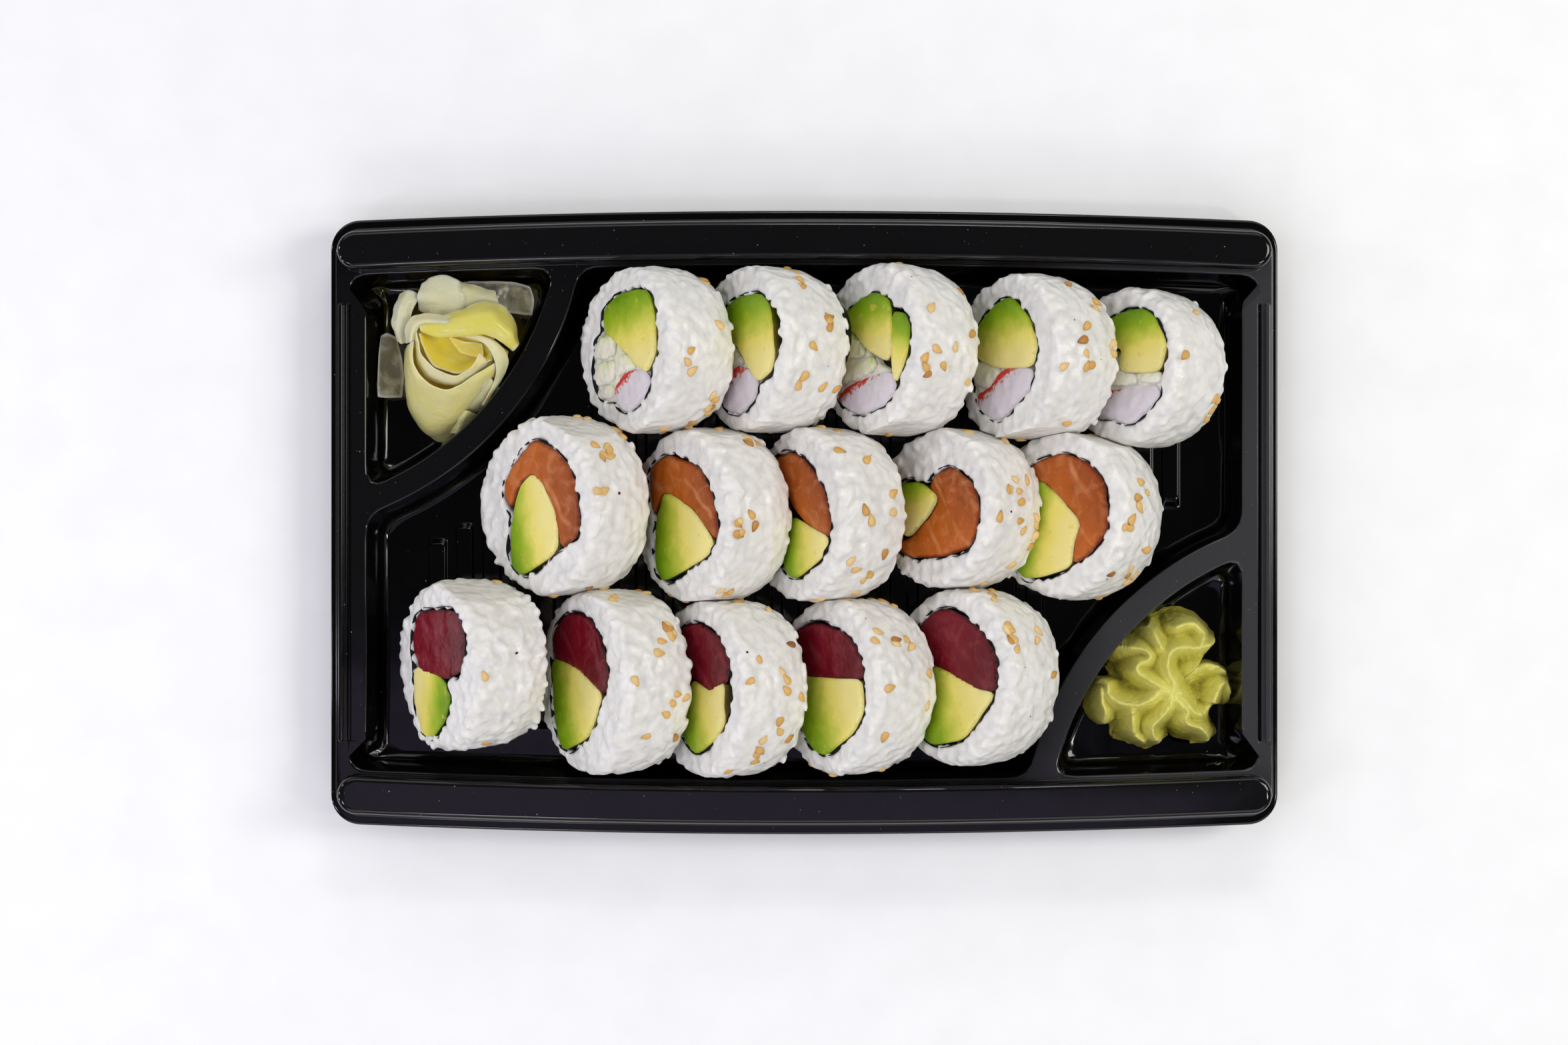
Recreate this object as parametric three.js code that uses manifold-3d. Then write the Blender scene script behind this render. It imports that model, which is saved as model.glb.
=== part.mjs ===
// Takeaway sushi tray: a black vacuum-formed tray with a long main well and two corner wells, fifteen
// inside-out rolls leaning in three rows, a heap of folded pickled ginger and a piped wasabi rosette.
// Millimetres, +Z up, +X along the tray. The origin lies on the table under the middle of the tray.

import * as THREE from 'three';
import { mergeVertices } from 'three/addons/utils/BufferGeometryUtils.js';
import Module from 'manifold-3d';

const wasm = await Module();
wasm.setup();

const DEGREE = Math.PI / 180;
const GAP = 0.3; // air kept between pieces that touch

// ---- Driving dimensions of the tray ----

const TRAY_HALF_LENGTH = 120;
const TRAY_HALF_WIDTH = 79.1;
const SIDE_BOW = 2.8; // how far the long sides fall back between their middle and their ends
const CORNER_RADIUS = 7.6;
const CORNER_STEPS = 3;
const BOW_STEPS = 5;

const SHEET = 0.8; // thickness of the plastic
const SKIRT_BOTTOM = 10.5;
const FLANGE_TOP = 13.5;
const FLANGE_EDGE = 0.5; // rounding of the outer edge
const RIM_TOP = 15; // also the tops of the shelves and the dividers
const RIM_INSET_END = 1.4;
const RIM_INSET_SIDE = 2.4;

const BAR_TOP = 22;
const FREE_HEIGHT = 40; // room over the tray that its contents may rise into
const BAR_HALF_LENGTH = 118;
const BAR_MIDDLE = 71.1; // from the tray's long axis to the middle of a bar
const BAR_HALF_WIDTH = 5;
const BAR_FOOT = 0.4; // how much wider a bar is at its foot
const BAR_EDGE = 1.2;
const BAR_BOW = 2.4;
const BAR_END_STEPS = 6;

const DRAFT = Math.tan(8 * DEGREE); // slope of the well's walls
const WELL_HALF_LENGTH = 115.1; // at the height of the rim
const WELL_HALF_WIDTH = 65.1;
const WELL_RADIUS = 4;
const FLOOR_FILLET = 2.5;
const FILLET_BEND = 0.3; // where the floor's fillet is split into two slopes, as a share of it

const SHELF_EDGE = 110.8;
const SHELF_HALF_WIDTH = 56.5;
const RIDGE_MIDDLE = 117.3;
const RIDGE_HALF_WIDTH = 0.95;
const RIDGE_HEIGHT = 1.3;

const DIVIDER_CENTRE = new THREE.Vector2(-138.7, 80.5); // of the arc round the ginger's well
const DIVIDER_INNER_RADIUS = 77.1;
const DIVIDER_OUTER_RADIUS = 83.4;
const DIVIDER_START = -78 * DEGREE;
const DIVIDER_END = -4 * DEGREE;
const DIVIDER_STEPS = 10;

const RIB_COUNT = 28;
const RIB_PITCH = 7;
const RIB_WIDTH = 4.2;
const RIB_HEIGHT = 0.8;
const RIB_REACH = 52; // how far a rib runs from the long axis where no divider is near
const RIB_CLEARANCE = 12.9; // from the outer face of a divider to the rib ends that follow it

// ---- Solids ----

function solidOf(geometry) {
  const bare = geometry.clone();
  bare.deleteAttribute('normal');
  bare.deleteAttribute('uv');
  const merged = mergeVertices(bare);
  return new wasm.Manifold(new wasm.Mesh({
    numProp: 3,
    vertProperties: new Float32Array(merged.attributes.position.array),
    triVerts: new Uint32Array(merged.index.array),
  }));
}

function geometryOf(solid) {
  const { vertProperties, triVerts } = solid.getMesh();
  const geometry = new THREE.BufferGeometry();
  geometry.setAttribute('position', new THREE.BufferAttribute(vertProperties, 3));
  geometry.setIndex(new THREE.BufferAttribute(triVerts, 1));
  geometry.computeVertexNormals();
  return geometry;
}

// A closed solid through rings of equal length, each anticlockwise as seen from the last ring's side.
function loft(rings) {
  const count = rings[0].length;
  const points = rings.flat();
  const index = [];
  for (let level = 0; level + 1 < rings.length; level += 1) {
    for (let i = 0; i < count; i += 1) {
      const low = level * count + i;
      const lowNext = level * count + (i + 1) % count;
      index.push(low, lowNext, lowNext + count, low, lowNext + count, low + count);
    }
  }
  const lastRing = (rings.length - 1) * count;
  const firstMiddle = points.length;
  points.push(middleOf(rings[0]), middleOf(rings.at(-1)));
  for (let i = 0; i < count; i += 1) {
    const next = (i + 1) % count;
    index.push(firstMiddle, next, i, firstMiddle + 1, lastRing + i, lastRing + next);
  }
  const geometry = new THREE.BufferGeometry().setFromPoints(points);
  geometry.setIndex(index);
  return solidOf(geometry);
}

function middleOf(ring) {
  const sum = new THREE.Vector3();
  ring.forEach((point) => sum.add(point));
  return sum.divideScalar(ring.length);
}

function join(solids) {
  return solids.reduce((whole, solid) => whole.add(solid));
}

// A repeatable stream of numbers from 0 to 1, so that the model is the same each time.
function seededRandom(seed) {
  let state = seed;
  return () => {
    state = (Math.imul(state, 1664525) + 1013904223) >>> 0;
    return state / 2 ** 32;
  };
}

function addArc(points, centreX, centreY, radius, from, to, steps, z) {
  for (let step = 0; step <= steps; step += 1) {
    const angle = from + (to - from) * step / steps;
    points.push(new THREE.Vector3(centreX + radius * Math.cos(angle), centreY + radius * Math.sin(angle), z));
  }
}

// A rectangle with round corners whose long sides bow outwards as the tray's do.
function bowedOutline(halfLength, halfWidth, radius, z) {
  const points = [];
  const cornerX = halfLength - radius;
  const edgeY = (x) => halfWidth - SIDE_BOW * (x / TRAY_HALF_LENGTH) ** 2;
  const cornerY = edgeY(cornerX) - radius;
  for (const side of [1, -1]) {
    const start = side > 0 ? 0 : Math.PI;
    const half = start + Math.PI / 2;
    addArc(points, side * cornerX, side * cornerY, radius, start, half, CORNER_STEPS, z);
    for (let step = 1; step < BOW_STEPS; step += 1) {
      const x = side * cornerX * (1 - 2 * step / BOW_STEPS);
      points.push(new THREE.Vector3(x, side * edgeY(x), z));
    }
    addArc(points, -side * cornerX, side * cornerY, radius, half, start + Math.PI, CORNER_STEPS, z);
  }
  return points;
}

// The round-ended outline of one of the two raised bars.
function barOutline(side, halfWidth, z) {
  const points = [];
  const endX = BAR_HALF_LENGTH - BAR_HALF_WIDTH;
  const middleY = (x) => BAR_MIDDLE - BAR_BOW * (x / BAR_HALF_LENGTH) ** 2;
  for (const edge of [1, -1]) {
    const from = edge > 0 ? -Math.PI / 2 : Math.PI / 2;
    addArc(points, edge * endX, middleY(endX), halfWidth, from, from + Math.PI, BAR_END_STEPS, z);
    for (let step = 1; step < BOW_STEPS; step += 1) {
      const x = edge * endX * (1 - 2 * step / BOW_STEPS);
      points.push(new THREE.Vector3(x, middleY(x) + edge * halfWidth, z));
    }
  }
  return points.map((point) => new THREE.Vector3(side * point.x, side * point.y, z));
}

// ---- Tray ----

function rimBlock(inset, bottom, top) {
  const ring = (extra, z) => bowedOutline(
    TRAY_HALF_LENGTH - inset - extra,
    TRAY_HALF_WIDTH - inset - extra,
    CORNER_RADIUS - inset - extra,
    z,
  );
  return loft([ring(0, bottom), ring(0, top - FLANGE_EDGE), ring(FLANGE_EDGE, top)]);
}

function rimPad(inset, bottom, top) {
  const ring = (z) => bowedOutline(
    TRAY_HALF_LENGTH - RIM_INSET_END - inset,
    TRAY_HALF_WIDTH - RIM_INSET_SIDE - inset,
    CORNER_RADIUS - RIM_INSET_END - inset,
    z,
  );
  return loft([ring(bottom), ring(top)]);
}

function bar(side, inset, bottom, top) {
  const halfWidth = BAR_HALF_WIDTH - inset;
  return loft([
    barOutline(side, halfWidth + BAR_FOOT, bottom),
    barOutline(side, halfWidth, top - BAR_EDGE),
    barOutline(side, halfWidth - BAR_EDGE, top),
  ]);
}

// The well as a solid: outset 0 is the space inside, outset SHEET is the outside of its walls and floor.
function well(outset, top) {
  const bottom = SHEET - outset;
  const ring = (extra, z) => {
    const inset = extra + (RIM_TOP - z) * DRAFT - outset;
    const radius = WELL_RADIUS + outset;
    return bowedOutline(WELL_HALF_LENGTH - inset, WELL_HALF_WIDTH - inset, radius, z);
  };
  return loft([
    ring(FLOOR_FILLET, bottom),
    ring(FLOOR_FILLET * FILLET_BEND, bottom + FLOOR_FILLET * FILLET_BEND),
    ring(0, bottom + FLOOR_FILLET),
    ring(0, top),
  ]);
}

// A curved wall round a corner well; side 1 is the ginger's and side -1 the wasabi's, turned half round.
function divider(side, inset, bottom, top) {
  const spread = (top - bottom) * DRAFT;
  const section = [
    [DIVIDER_INNER_RADIUS + inset - spread, bottom],
    [DIVIDER_OUTER_RADIUS - inset + spread, bottom],
    [DIVIDER_OUTER_RADIUS - inset, top],
    [DIVIDER_INNER_RADIUS + inset, top],
  ];
  const rings = [];
  for (let step = 0; step <= DIVIDER_STEPS; step += 1) {
    const angle = DIVIDER_END + (DIVIDER_START - DIVIDER_END) * step / DIVIDER_STEPS;
    rings.push(section.map(([radius, z]) => new THREE.Vector3(
      side * (DIVIDER_CENTRE.x + radius * Math.cos(angle)),
      side * (DIVIDER_CENTRE.y + radius * Math.sin(angle)),
      z,
    )));
  }
  return loft(rings);
}

// The low step along a short side of the well.
function shelf(side, inset, bottom, top) {
  const outerX = RIDGE_MIDDLE - RIDGE_HALF_WIDTH - SHEET;
  const ring = (z) => {
    const spread = (top - z) * DRAFT - inset;
    const innerX = SHELF_EDGE - spread;
    const halfWidth = SHELF_HALF_WIDTH + spread;
    const corners = [[innerX, -halfWidth], [outerX, -halfWidth], [outerX, halfWidth], [innerX, halfWidth]];
    return corners.map(([x, y]) => new THREE.Vector3(side * x, side * y, z));
  };
  return loft([ring(bottom), ring(top)]);
}

function ridge(side) {
  const height = RIDGE_HEIGHT + SHEET / 2;
  const block = new THREE.BoxGeometry(2 * RIDGE_HALF_WIDTH, 2 * SHELF_HALF_WIDTH, height);
  block.translate(side * RIDGE_MIDDLE, 0, RIM_TOP - SHEET / 2 + height / 2);
  return solidOf(block);
}

// How far up the tray a rib may run before it comes near the divider on the ginger's side.
function ribEnd(x) {
  const reach = DIVIDER_OUTER_RADIUS + RIB_CLEARANCE;
  const across = x - DIVIDER_CENTRE.x;
  if (across >= reach) {
    return RIB_REACH;
  }
  return Math.min(RIB_REACH, DIVIDER_CENTRE.y - Math.sqrt(reach ** 2 - across ** 2));
}

function rib(index) {
  const x = (index - (RIB_COUNT - 1) / 2) * RIB_PITCH;
  const top = ribEnd(x);
  const bottom = -ribEnd(-x);
  const root = SHEET / 2; // sunk in the floor, so that it is one with it
  const block = new THREE.BoxGeometry(RIB_WIDTH, top - bottom, RIB_HEIGHT + root);
  block.translate(x, (top + bottom) / 2, SHEET - root + (RIB_HEIGHT + root) / 2);
  return solidOf(block);
}

// The walls that stand in the well, or with a negative inset the room that they and a gap take up.
function raisedWalls(inset, bottom, top) {
  return join([1, -1].flatMap((side) => [
    divider(side, inset, bottom, top),
    shelf(side, inset, bottom, top),
  ]));
}

// The room in the well that its contents may fill.
function wellSpace() {
  return well(-GAP, BAR_TOP + FREE_HEIGHT).subtract(raisedWalls(-GAP, 0, RIM_TOP + GAP));
}

function makeTray() {
  const sides = [1, -1];
  const underground = -1; // hollows start below the table, so that they open downwards
  const outside = join([
    rimBlock(0, SKIRT_BOTTOM, FLANGE_TOP),
    rimPad(0, FLANGE_TOP - 2 * SHEET, RIM_TOP),
    well(SHEET, RIM_TOP),
    ...sides.map((side) => bar(side, 0, RIM_TOP - SHEET, BAR_TOP)),
  ]);
  const raised = raisedWalls(0, 0, RIM_TOP).intersect(well(SHEET, RIM_TOP));
  const ribs = join(Array.from({ length: RIB_COUNT }, (_, index) => rib(index)));
  const underRim = join([
    rimBlock(SHEET, underground, FLANGE_TOP - SHEET),
    rimPad(SHEET, underground, RIM_TOP - SHEET),
    ...sides.map((side) => bar(side, SHEET, RIM_TOP - 2 * SHEET, BAR_TOP - SHEET)),
  ]).subtract(well(SHEET, BAR_TOP));
  const underRaised = raisedWalls(SHEET, underground, RIM_TOP - SHEET).intersect(well(SHEET + GAP, RIM_TOP));
  return outside
    .subtract(well(0, BAR_TOP + 1))
    .add(raised)
    .add(ribs)
    .add(join(sides.map(ridge)))
    .subtract(underRim)
    .subtract(underRaised);
}

// ---- Rolls ----

const REST_HEIGHT = SHEET + RIB_HEIGHT + GAP; // the rolls lie on the ribs
const ROLL_THICKNESS = 21;
const ROLL_SIDES = 24;
const ROLL_SETTLING = 0.9; // how far a roll's soft edge is flattened by its weight
const GRAIN_BUMP = 0.55;
// Waves round a roll's side: how many, how deep as a share of its size, and which way they start.
const ROLL_LOBES = [[2, 0.014, 1], [3, 0.012, -1]];
const NEIGHBOUR_REACH = 50; // rolls of different rows touch when their middles are nearer than this
const SEEDS_ON_ROLL = 6;
const SEED_SIZE = new THREE.Vector3(1.75, 1.05, 0.6); // half lengths
const SEED_ARC = 95 * DEGREE; // how far round from its top a roll carries seeds

// Each roll: its middle, how far its cut face leans back from level, how it is turned about the vertical,
// how wide it is across and up its face, and the filling's middle and half sizes up and across the face.
const ROWS = [
  ['crab_roll', [
    { x: -36.4, y: 43.1, tilt: 54, turn: 2, across: 41.6, up: 42.5, hole: [0, -0.5, 12.5, 15.2] },
    { x: -7.5, y: 43.1, tilt: 56, turn: 0, across: 41.6, up: 41, hole: [0.5, -0.5, 14, 15] },
    { x: 24.2, y: 42.9, tilt: 54, turn: -3, across: 43.2, up: 42, hole: [0, -0.8, 14, 15.2] },
    { x: 58.5, y: 40.8, tilt: 57, turn: -2, across: 42.1, up: 43, hole: [-1, -0.2, 13, 15.4] },
    { x: 86.3, y: 38.5, tilt: 50, turn: -4, across: 39.7, up: 39, hole: [-1, 0, 13, 15] },
  ]],
  ['salmon_roll', [
    { x: -58.8, y: 4.2, tilt: 46, turn: 3, across: 45.2, up: 43, hole: [1, 0, 14.5, 16.8] },
    { x: -22.5, y: 1.9, tilt: 52, turn: 2, across: 44, up: 42, hole: [0, -0.5, 14.5, 15.7] },
    { x: 6.2, y: 1.9, tilt: 55, turn: 0, across: 44, up: 42, hole: [0, -0.3, 14, 15.8] },
    { x: 39.8, y: 3.3, tilt: 48, turn: -5, across: 40.4, up: 40, hole: [0, 0, 15, 12.2] },
    { x: 69.3, y: 1.9, tilt: 42, turn: -4, across: 42.6, up: 41, hole: [0, 0, 15.5, 15.6] },
  ]],
  ['tuna_roll', [
    { x: -82.6, y: -35.2, tilt: 56, turn: 4, across: 42.4, up: 41.5, hole: [0, -1, 14, 16.4] },
    { x: -46.8, y: -39.6, tilt: 56, turn: 1, across: 46.4, up: 43, hole: [0.5, 0, 14.5, 17.3] },
    { x: -18.1, y: -41.3, tilt: 56, turn: 0, across: 44.6, up: 42.5, hole: [0, 0, 14, 16.2] },
    { x: 13.2, y: -40.8, tilt: 52, turn: -1, across: 44, up: 42, hole: [0, 0, 14.5, 17] },
    { x: 43.4, y: -38.6, tilt: 48, turn: -3, across: 44.2, up: 42.5, hole: [0, -0.5, 15, 16.8] },
  ]],
];

// Over the filling: share of the filling's size, and depth below the cut face.
const FILLING_STATIONS = [
  [1, 0.8],
  [1.07, 0],
];
// From the cut face to the back: depth below the face, and how far the ring lies inside the roll's side.
const SIDE_STATIONS = [
  [0.2, 1.8],
  [1.9, 0],
  [0.36 * ROLL_THICKNESS, -0.4],
  [0.68 * ROLL_THICKNESS, 0.2],
  [ROLL_THICKNESS - 1.8, 2.6],
  [ROLL_THICKNESS, 7],
];
const SEEDED_RINGS = [3, 4, 5]; // rings of a roll's side, counted from the filling, that carry seeds

// The rings of a roll about its own middle: +Z out of the cut face, +X up the face.
function rollRings(roll) {
  const [holeX, holeY, holeUp, holeAcross] = roll.hole;
  const phase = roll.random() * 2 * Math.PI;
  const half = ROLL_THICKNESS / 2;
  const angles = Array.from({ length: ROLL_SIDES }, (_, i) => i / ROLL_SIDES * 2 * Math.PI);
  const fillingRings = FILLING_STATIONS.map(([share, depth]) => angles.map((angle) => new THREE.Vector3(
    holeX + share * holeUp * Math.cos(angle),
    holeY + share * holeAcross * Math.sin(angle),
    half - depth,
  )));
  const sideRings = SIDE_STATIONS.map(([depth, inset]) => angles.map((angle) => {
    const bump = (2 * roll.random() - 1) * GRAIN_BUMP;
    const lobe = ROLL_LOBES.reduce(
      (sum, [waves, depth, way]) => sum + depth * Math.sin(waves * angle + way * phase),
      1,
    );
    const scale = lobe * (1 + (bump - inset) / (roll.across / 2));
    return new THREE.Vector3(
      roll.up / 2 * scale * Math.cos(angle),
      roll.across / 2 * scale * Math.sin(angle),
      half - depth + bump / 2,
    );
  }));
  return [...fillingRings, ...sideRings];
}

// Where a roll stands, low enough for its softest edge to be pressed flat by its own weight.
function rollMatrix(roll) {
  const matrix = new THREE.Matrix4();
  matrix.makeRotationFromEuler(new THREE.Euler(0, -roll.tilt * DEGREE, roll.turn * DEGREE, 'ZYX'));
  const heights = roll.rings.flat().map((point) => point.clone().applyMatrix4(matrix).z);
  return matrix.setPosition(roll.x, roll.y, REST_HEIGHT - ROLL_SETTLING - Math.min(...heights));
}

function middleOfRoll(roll) {
  return new THREE.Vector3().setFromMatrixPosition(roll.matrix);
}

// Keeps the side of a roll's solid that the plane's normal points to.
function trim(solid, roll, plane) {
  const local = plane.clone().applyMatrix4(roll.matrix.clone().invert());
  return solid.trimByPlane(local.normal.toArray(), -local.constant);
}

// The plane midway between two rolls of different rows, its normal pointing to the first.
function planeBetween(roll, other) {
  const otherMiddle = middleOfRoll(other);
  const axis = new THREE.Vector3().setFromMatrixColumn(roll.matrix, 2);
  axis.add(new THREE.Vector3().setFromMatrixColumn(other.matrix, 2)).normalize();
  const normal = middleOfRoll(roll).sub(otherMiddle).projectOnPlane(axis);
  const share = other.across / (roll.across + other.across);
  const point = otherMiddle.clone().addScaledVector(normal, share);
  normal.normalize();
  point.addScaledVector(normal, GAP / 2);
  return new THREE.Plane().setFromNormalAndCoplanarPoint(normal, point);
}

// The plane just off the cut face that the roll before it leans over.
function planeOverFace(roll) {
  const axis = new THREE.Vector3().setFromMatrixColumn(roll.matrix, 2);
  const height = ROLL_THICKNESS / 2 + GRAIN_BUMP / 2 + GAP;
  const point = new THREE.Vector3(0, 0, height).applyMatrix4(roll.matrix);
  return new THREE.Plane().setFromNormalAndCoplanarPoint(axis, point);
}

// A flat seed lying on the roll's side at a point, turned any way.
function sesameSeed(point, random) {
  const seed = new THREE.SphereGeometry(1, 6, 2);
  seed.rotateX(Math.PI / 2);
  seed.scale(SEED_SIZE.x, SEED_SIZE.y, SEED_SIZE.z);
  seed.rotateZ(random() * Math.PI);
  const outward = new THREE.Vector3(point.x, point.y, 0).normalize();
  seed.applyQuaternion(new THREE.Quaternion().setFromUnitVectors(new THREE.Vector3(0, 0, 1), outward));
  seed.translate(point.x, point.y, point.z);
  return solidOf(seed);
}

// The seeds are spread over the top of the side, one in each equal share of the arc.
function rollSeeds(roll) {
  const reach = Math.floor(SEED_ARC / (2 * Math.PI) * ROLL_SIDES);
  return Array.from({ length: SEEDS_ON_ROLL }, (_, seed) => {
    const ring = roll.rings[SEEDED_RINGS[seed % SEEDED_RINGS.length]];
    const place = Math.round(-reach + 2 * reach * (seed + roll.random()) / SEEDS_ON_ROLL);
    return sesameSeed(ring[(place + ROLL_SIDES) % ROLL_SIDES], roll.random);
  });
}

function makeRoll(roll) {
  const whole = loft([...roll.rings].reverse()).add(join(rollSeeds(roll)));
  const planes = rolls
    .filter((other) => other.row !== roll.row)
    .filter((other) => middleOfRoll(roll).distanceTo(middleOfRoll(other)) < NEIGHBOUR_REACH)
    .map((other) => planeBetween(roll, other));
  const next = rolls.find((other) => other.row === roll.row && other.place === roll.place + 1);
  if (next) {
    planes.push(planeOverFace(next));
  }
  planes.push(new THREE.Plane(new THREE.Vector3(0, 0, 1), -REST_HEIGHT));
  const solid = planes.reduce((rest, plane) => trim(rest, roll, plane), whole);
  const mesh = piece(roll.name, solid, RICE_COLOUR, 0.6);
  mesh.applyMatrix4(roll.matrix);
  return mesh;
}

const rolls = ROWS.flatMap(([kind, row], rowIndex) => row.map((roll, place) => ({
  ...roll,
  name: `${kind}_${place + 1}`,
  row: rowIndex,
  place,
  random: seededRandom(rowIndex * row.length + place + 1),
})));
rolls.forEach((roll) => {
  roll.rings = rollRings(roll);
  roll.matrix = rollMatrix(roll);
});

// ---- Ginger ----

const GINGER_MIDDLE = new THREE.Vector3(-88, 41.6, SHEET + GAP);
const GINGER_SLICE = 1.1;
const GINGER_STEPS = 5;
const GINGER_CORE_SIDES = 14;
// Half sizes and height of the rings of the heap's core, and where its middle lies.
const GINGER_CORE = [[10.5, 13, 0], [12, 14.5, 2.5], [10.5, 12.5, 7], [7, 6.5, 9]];
const GINGER_CORE_MIDDLE = [-2.5, -1.5];

// Each slice is a band between a lower and an upper edge, given by points about the heap's middle.
const GINGER_SLICES = [
  { // the outer slice, wrapped round the front of the rose
    lower: [
      [-12, 7, 3], [-13.8, -2, 2], [-12.5, -11, 1], [-8, -18.4, 0.8], [-3.5, -16, 1], [3, -9, 2], [9, -2, 4],
    ],
    upper: [
      [-9, 7, 17], [-8.6, 1, 18], [-6.4, -4, 18.5], [-2, -6.5, 18.5],
      [2.4, -6, 18.5], [5, -3, 18], [7, 2, 18],
    ],
  },
  { // the broad fold over the back of the rose
    lower: [[-9, 5, 4], [-4, 7, 5], [3, 8, 6], [10, 8, 6], [13.5, 4, 6], [11.5, 0, 6]],
    upper: [[-8, 6.9, 17], [-2, 8.5, 20], [5, 10, 21], [10.5, 8, 20], [12, 4, 18], [10.5, 1.5, 16]],
  },
  { // the small petal inside the rose
    lower: [[-5, 3, 8], [-3.5, -3, 8], [2, -3.5, 8], [4.5, 1, 8]],
    upper: [[-6, 4, 16], [-4.5, -3.5, 16.5], [2.5, -4.5, 16.5], [5.5, 1, 16]],
  },
  { // the right-hand lip, turned down over the divider's side
    lower: [[5, 5, 9], [12, 0, 6], [10.5, -5, 2]],
    upper: [[6, 6, 18], [14, 0.5, 13], [12.5, -6.5, 8]],
  },
  { // the folded slice at the back
    lower: [[-9, 9, 4], [-6, 14, 3], [-1, 14, 4], [4, 10, 6]],
    upper: [[-9, 15, 14], [-4.5, 20, 15], [0, 18.5, 15], [3, 14, 14]],
  },
  { // the thin slice reaching to the right
    lower: [[0, 4, 6], [6, 9, 6], [14, 11.5, 6.5], [18.4, 11, 7]],
    upper: [[-3, 15, 8], [7, 17.5, 9], [14, 17.8, 9], [18.6, 16.5, 9]],
  },
  { // the small slice on the left
    lower: [[-8, 11, 3], [-11, 5, 3], [-10, 1, 4]],
    upper: [[-13.5, 16, 14], [-15.8, 9, 14.5], [-13.4, 3.5, 13]],
  },
  { // the thin slice against the side of the well
    lower: [[-11, 5, 3], [-12.5, -2, 2], [-11, -8, 2]],
    upper: [[-19, 6, 9], [-20.5, -1, 10], [-20.5, -9, 8]],
  },
];

function gingerCore() {
  const rings = GINGER_CORE.map(([halfX, halfY, z]) => {
    const points = [];
    for (let i = 0; i < GINGER_CORE_SIDES; i += 1) {
      const angle = i / GINGER_CORE_SIDES * 2 * Math.PI;
      const x = GINGER_CORE_MIDDLE[0] + halfX * Math.cos(angle);
      const y = GINGER_CORE_MIDDLE[1] + halfY * Math.sin(angle);
      points.push(new THREE.Vector3(x, y, z));
    }
    return points;
  });
  return loft(rings);
}

function gingerSlice({ lower, upper }) {
  const [lowerCurve, upperCurve] = [lower, upper].map(
    (points) => new THREE.CatmullRomCurve3(points.map((point) => new THREE.Vector3(...point))),
  );
  const rings = [];
  for (let step = 0; step <= GINGER_STEPS; step += 1) {
    const low = lowerCurve.getPoint(step / GINGER_STEPS);
    const high = upperCurve.getPoint(step / GINGER_STEPS);
    const along = lowerCurve.getTangent(step / GINGER_STEPS);
    const out = along.cross(high.clone().sub(low)).setLength(GINGER_SLICE / 2);
    rings.push([low.clone().add(out), low.clone().sub(out), high.clone().sub(out), high.clone().add(out)]);
  }
  return loft(rings);
}

function makeGinger() {
  const heap = gingerCore().add(join(GINGER_SLICES.map(gingerSlice)));
  return heap.translate(GINGER_MIDDLE.toArray()).intersect(wellSpace());
}

// ---- Wasabi ----

const WASABI_MIDDLE = new THREE.Vector3(93.3, -43.4, SHEET + GAP);
const WASABI_HEIGHT = 14;
const WASABI_SIDES = 54;
const WASABI_GROOVE = 0.36; // depth of the creases between petals, as a share of the reach
const WASABI_SHARPNESS = 9; // how steeply a crease falls away beside a petal
// Direction of each petal in degrees, and how far it reaches.
const WASABI_PETALS = [
  [78, 21], [47, 18.2], [5, 17.4], [-45, 17.2], [-107, 15.8],
  [-142, 18.6], [-174, 21.4], [158, 18.6], [117, 19],
];
// Height and width of the rings, as shares of the whole, and how far they are twisted in degrees.
const WASABI_STATIONS = [[0, 0.84, 0], [0.25, 1, 2], [0.55, 0.96, 6], [0.8, 0.74, 12], [1, 0.26, 22]];

function wasabiRadius(angle) {
  const reaches = WASABI_PETALS.map(([direction, reach]) => {
    const off = 1 - Math.cos(angle - direction * DEGREE);
    return reach * (1 - WASABI_GROOVE * Math.min(1, WASABI_SHARPNESS * off));
  });
  return Math.max(...reaches);
}

function makeWasabi() {
  const rings = WASABI_STATIONS.map(([height, width, twist]) => {
    const points = [];
    for (let i = 0; i < WASABI_SIDES; i += 1) {
      const angle = i / WASABI_SIDES * 2 * Math.PI;
      const radius = width * wasabiRadius(angle - twist * DEGREE);
      const [x, y] = [radius * Math.cos(angle), radius * Math.sin(angle)];
      points.push(new THREE.Vector3(x, y, height * WASABI_HEIGHT));
    }
    return points;
  });
  return loft(rings).translate(WASABI_MIDDLE.toArray()).intersect(wellSpace());
}

// ---- The whole ----

const BLACK_PLASTIC = 0x0b0b0d;
const RICE_COLOUR = 0xe9e9e6;
const GINGER_COLOUR = 0xe6d98a;
const WASABI_COLOUR = 0xb0b04a;

function piece(name, solid, colour, roughness) {
  const material = new THREE.MeshStandardMaterial({ color: colour, roughness, metalness: 0 });
  const mesh = new THREE.Mesh(geometryOf(solid), material);
  mesh.name = name;
  return mesh;
}

const sushiTray = new THREE.Group();
sushiTray.add(piece('tray', makeTray(), BLACK_PLASTIC, 0.15));
sushiTray.add(...rolls.map(makeRoll));
sushiTray.add(piece('ginger', makeGinger(), GINGER_COLOUR, 0.4));
sushiTray.add(piece('wasabi', makeWasabi(), WASABI_COLOUR, 0.5));

export default sushiTray;
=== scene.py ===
# Takeaway sushi tray: a glossy black tray, fifteen inside-out rolls in three rows, pickled ginger and a
# wasabi rosette. Shapes are worked out in millimetres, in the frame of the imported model: +X along the tray
# towards the wasabi, +Y towards the ginger, +Z up, with the origin on the table under the tray's middle.

import math

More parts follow.
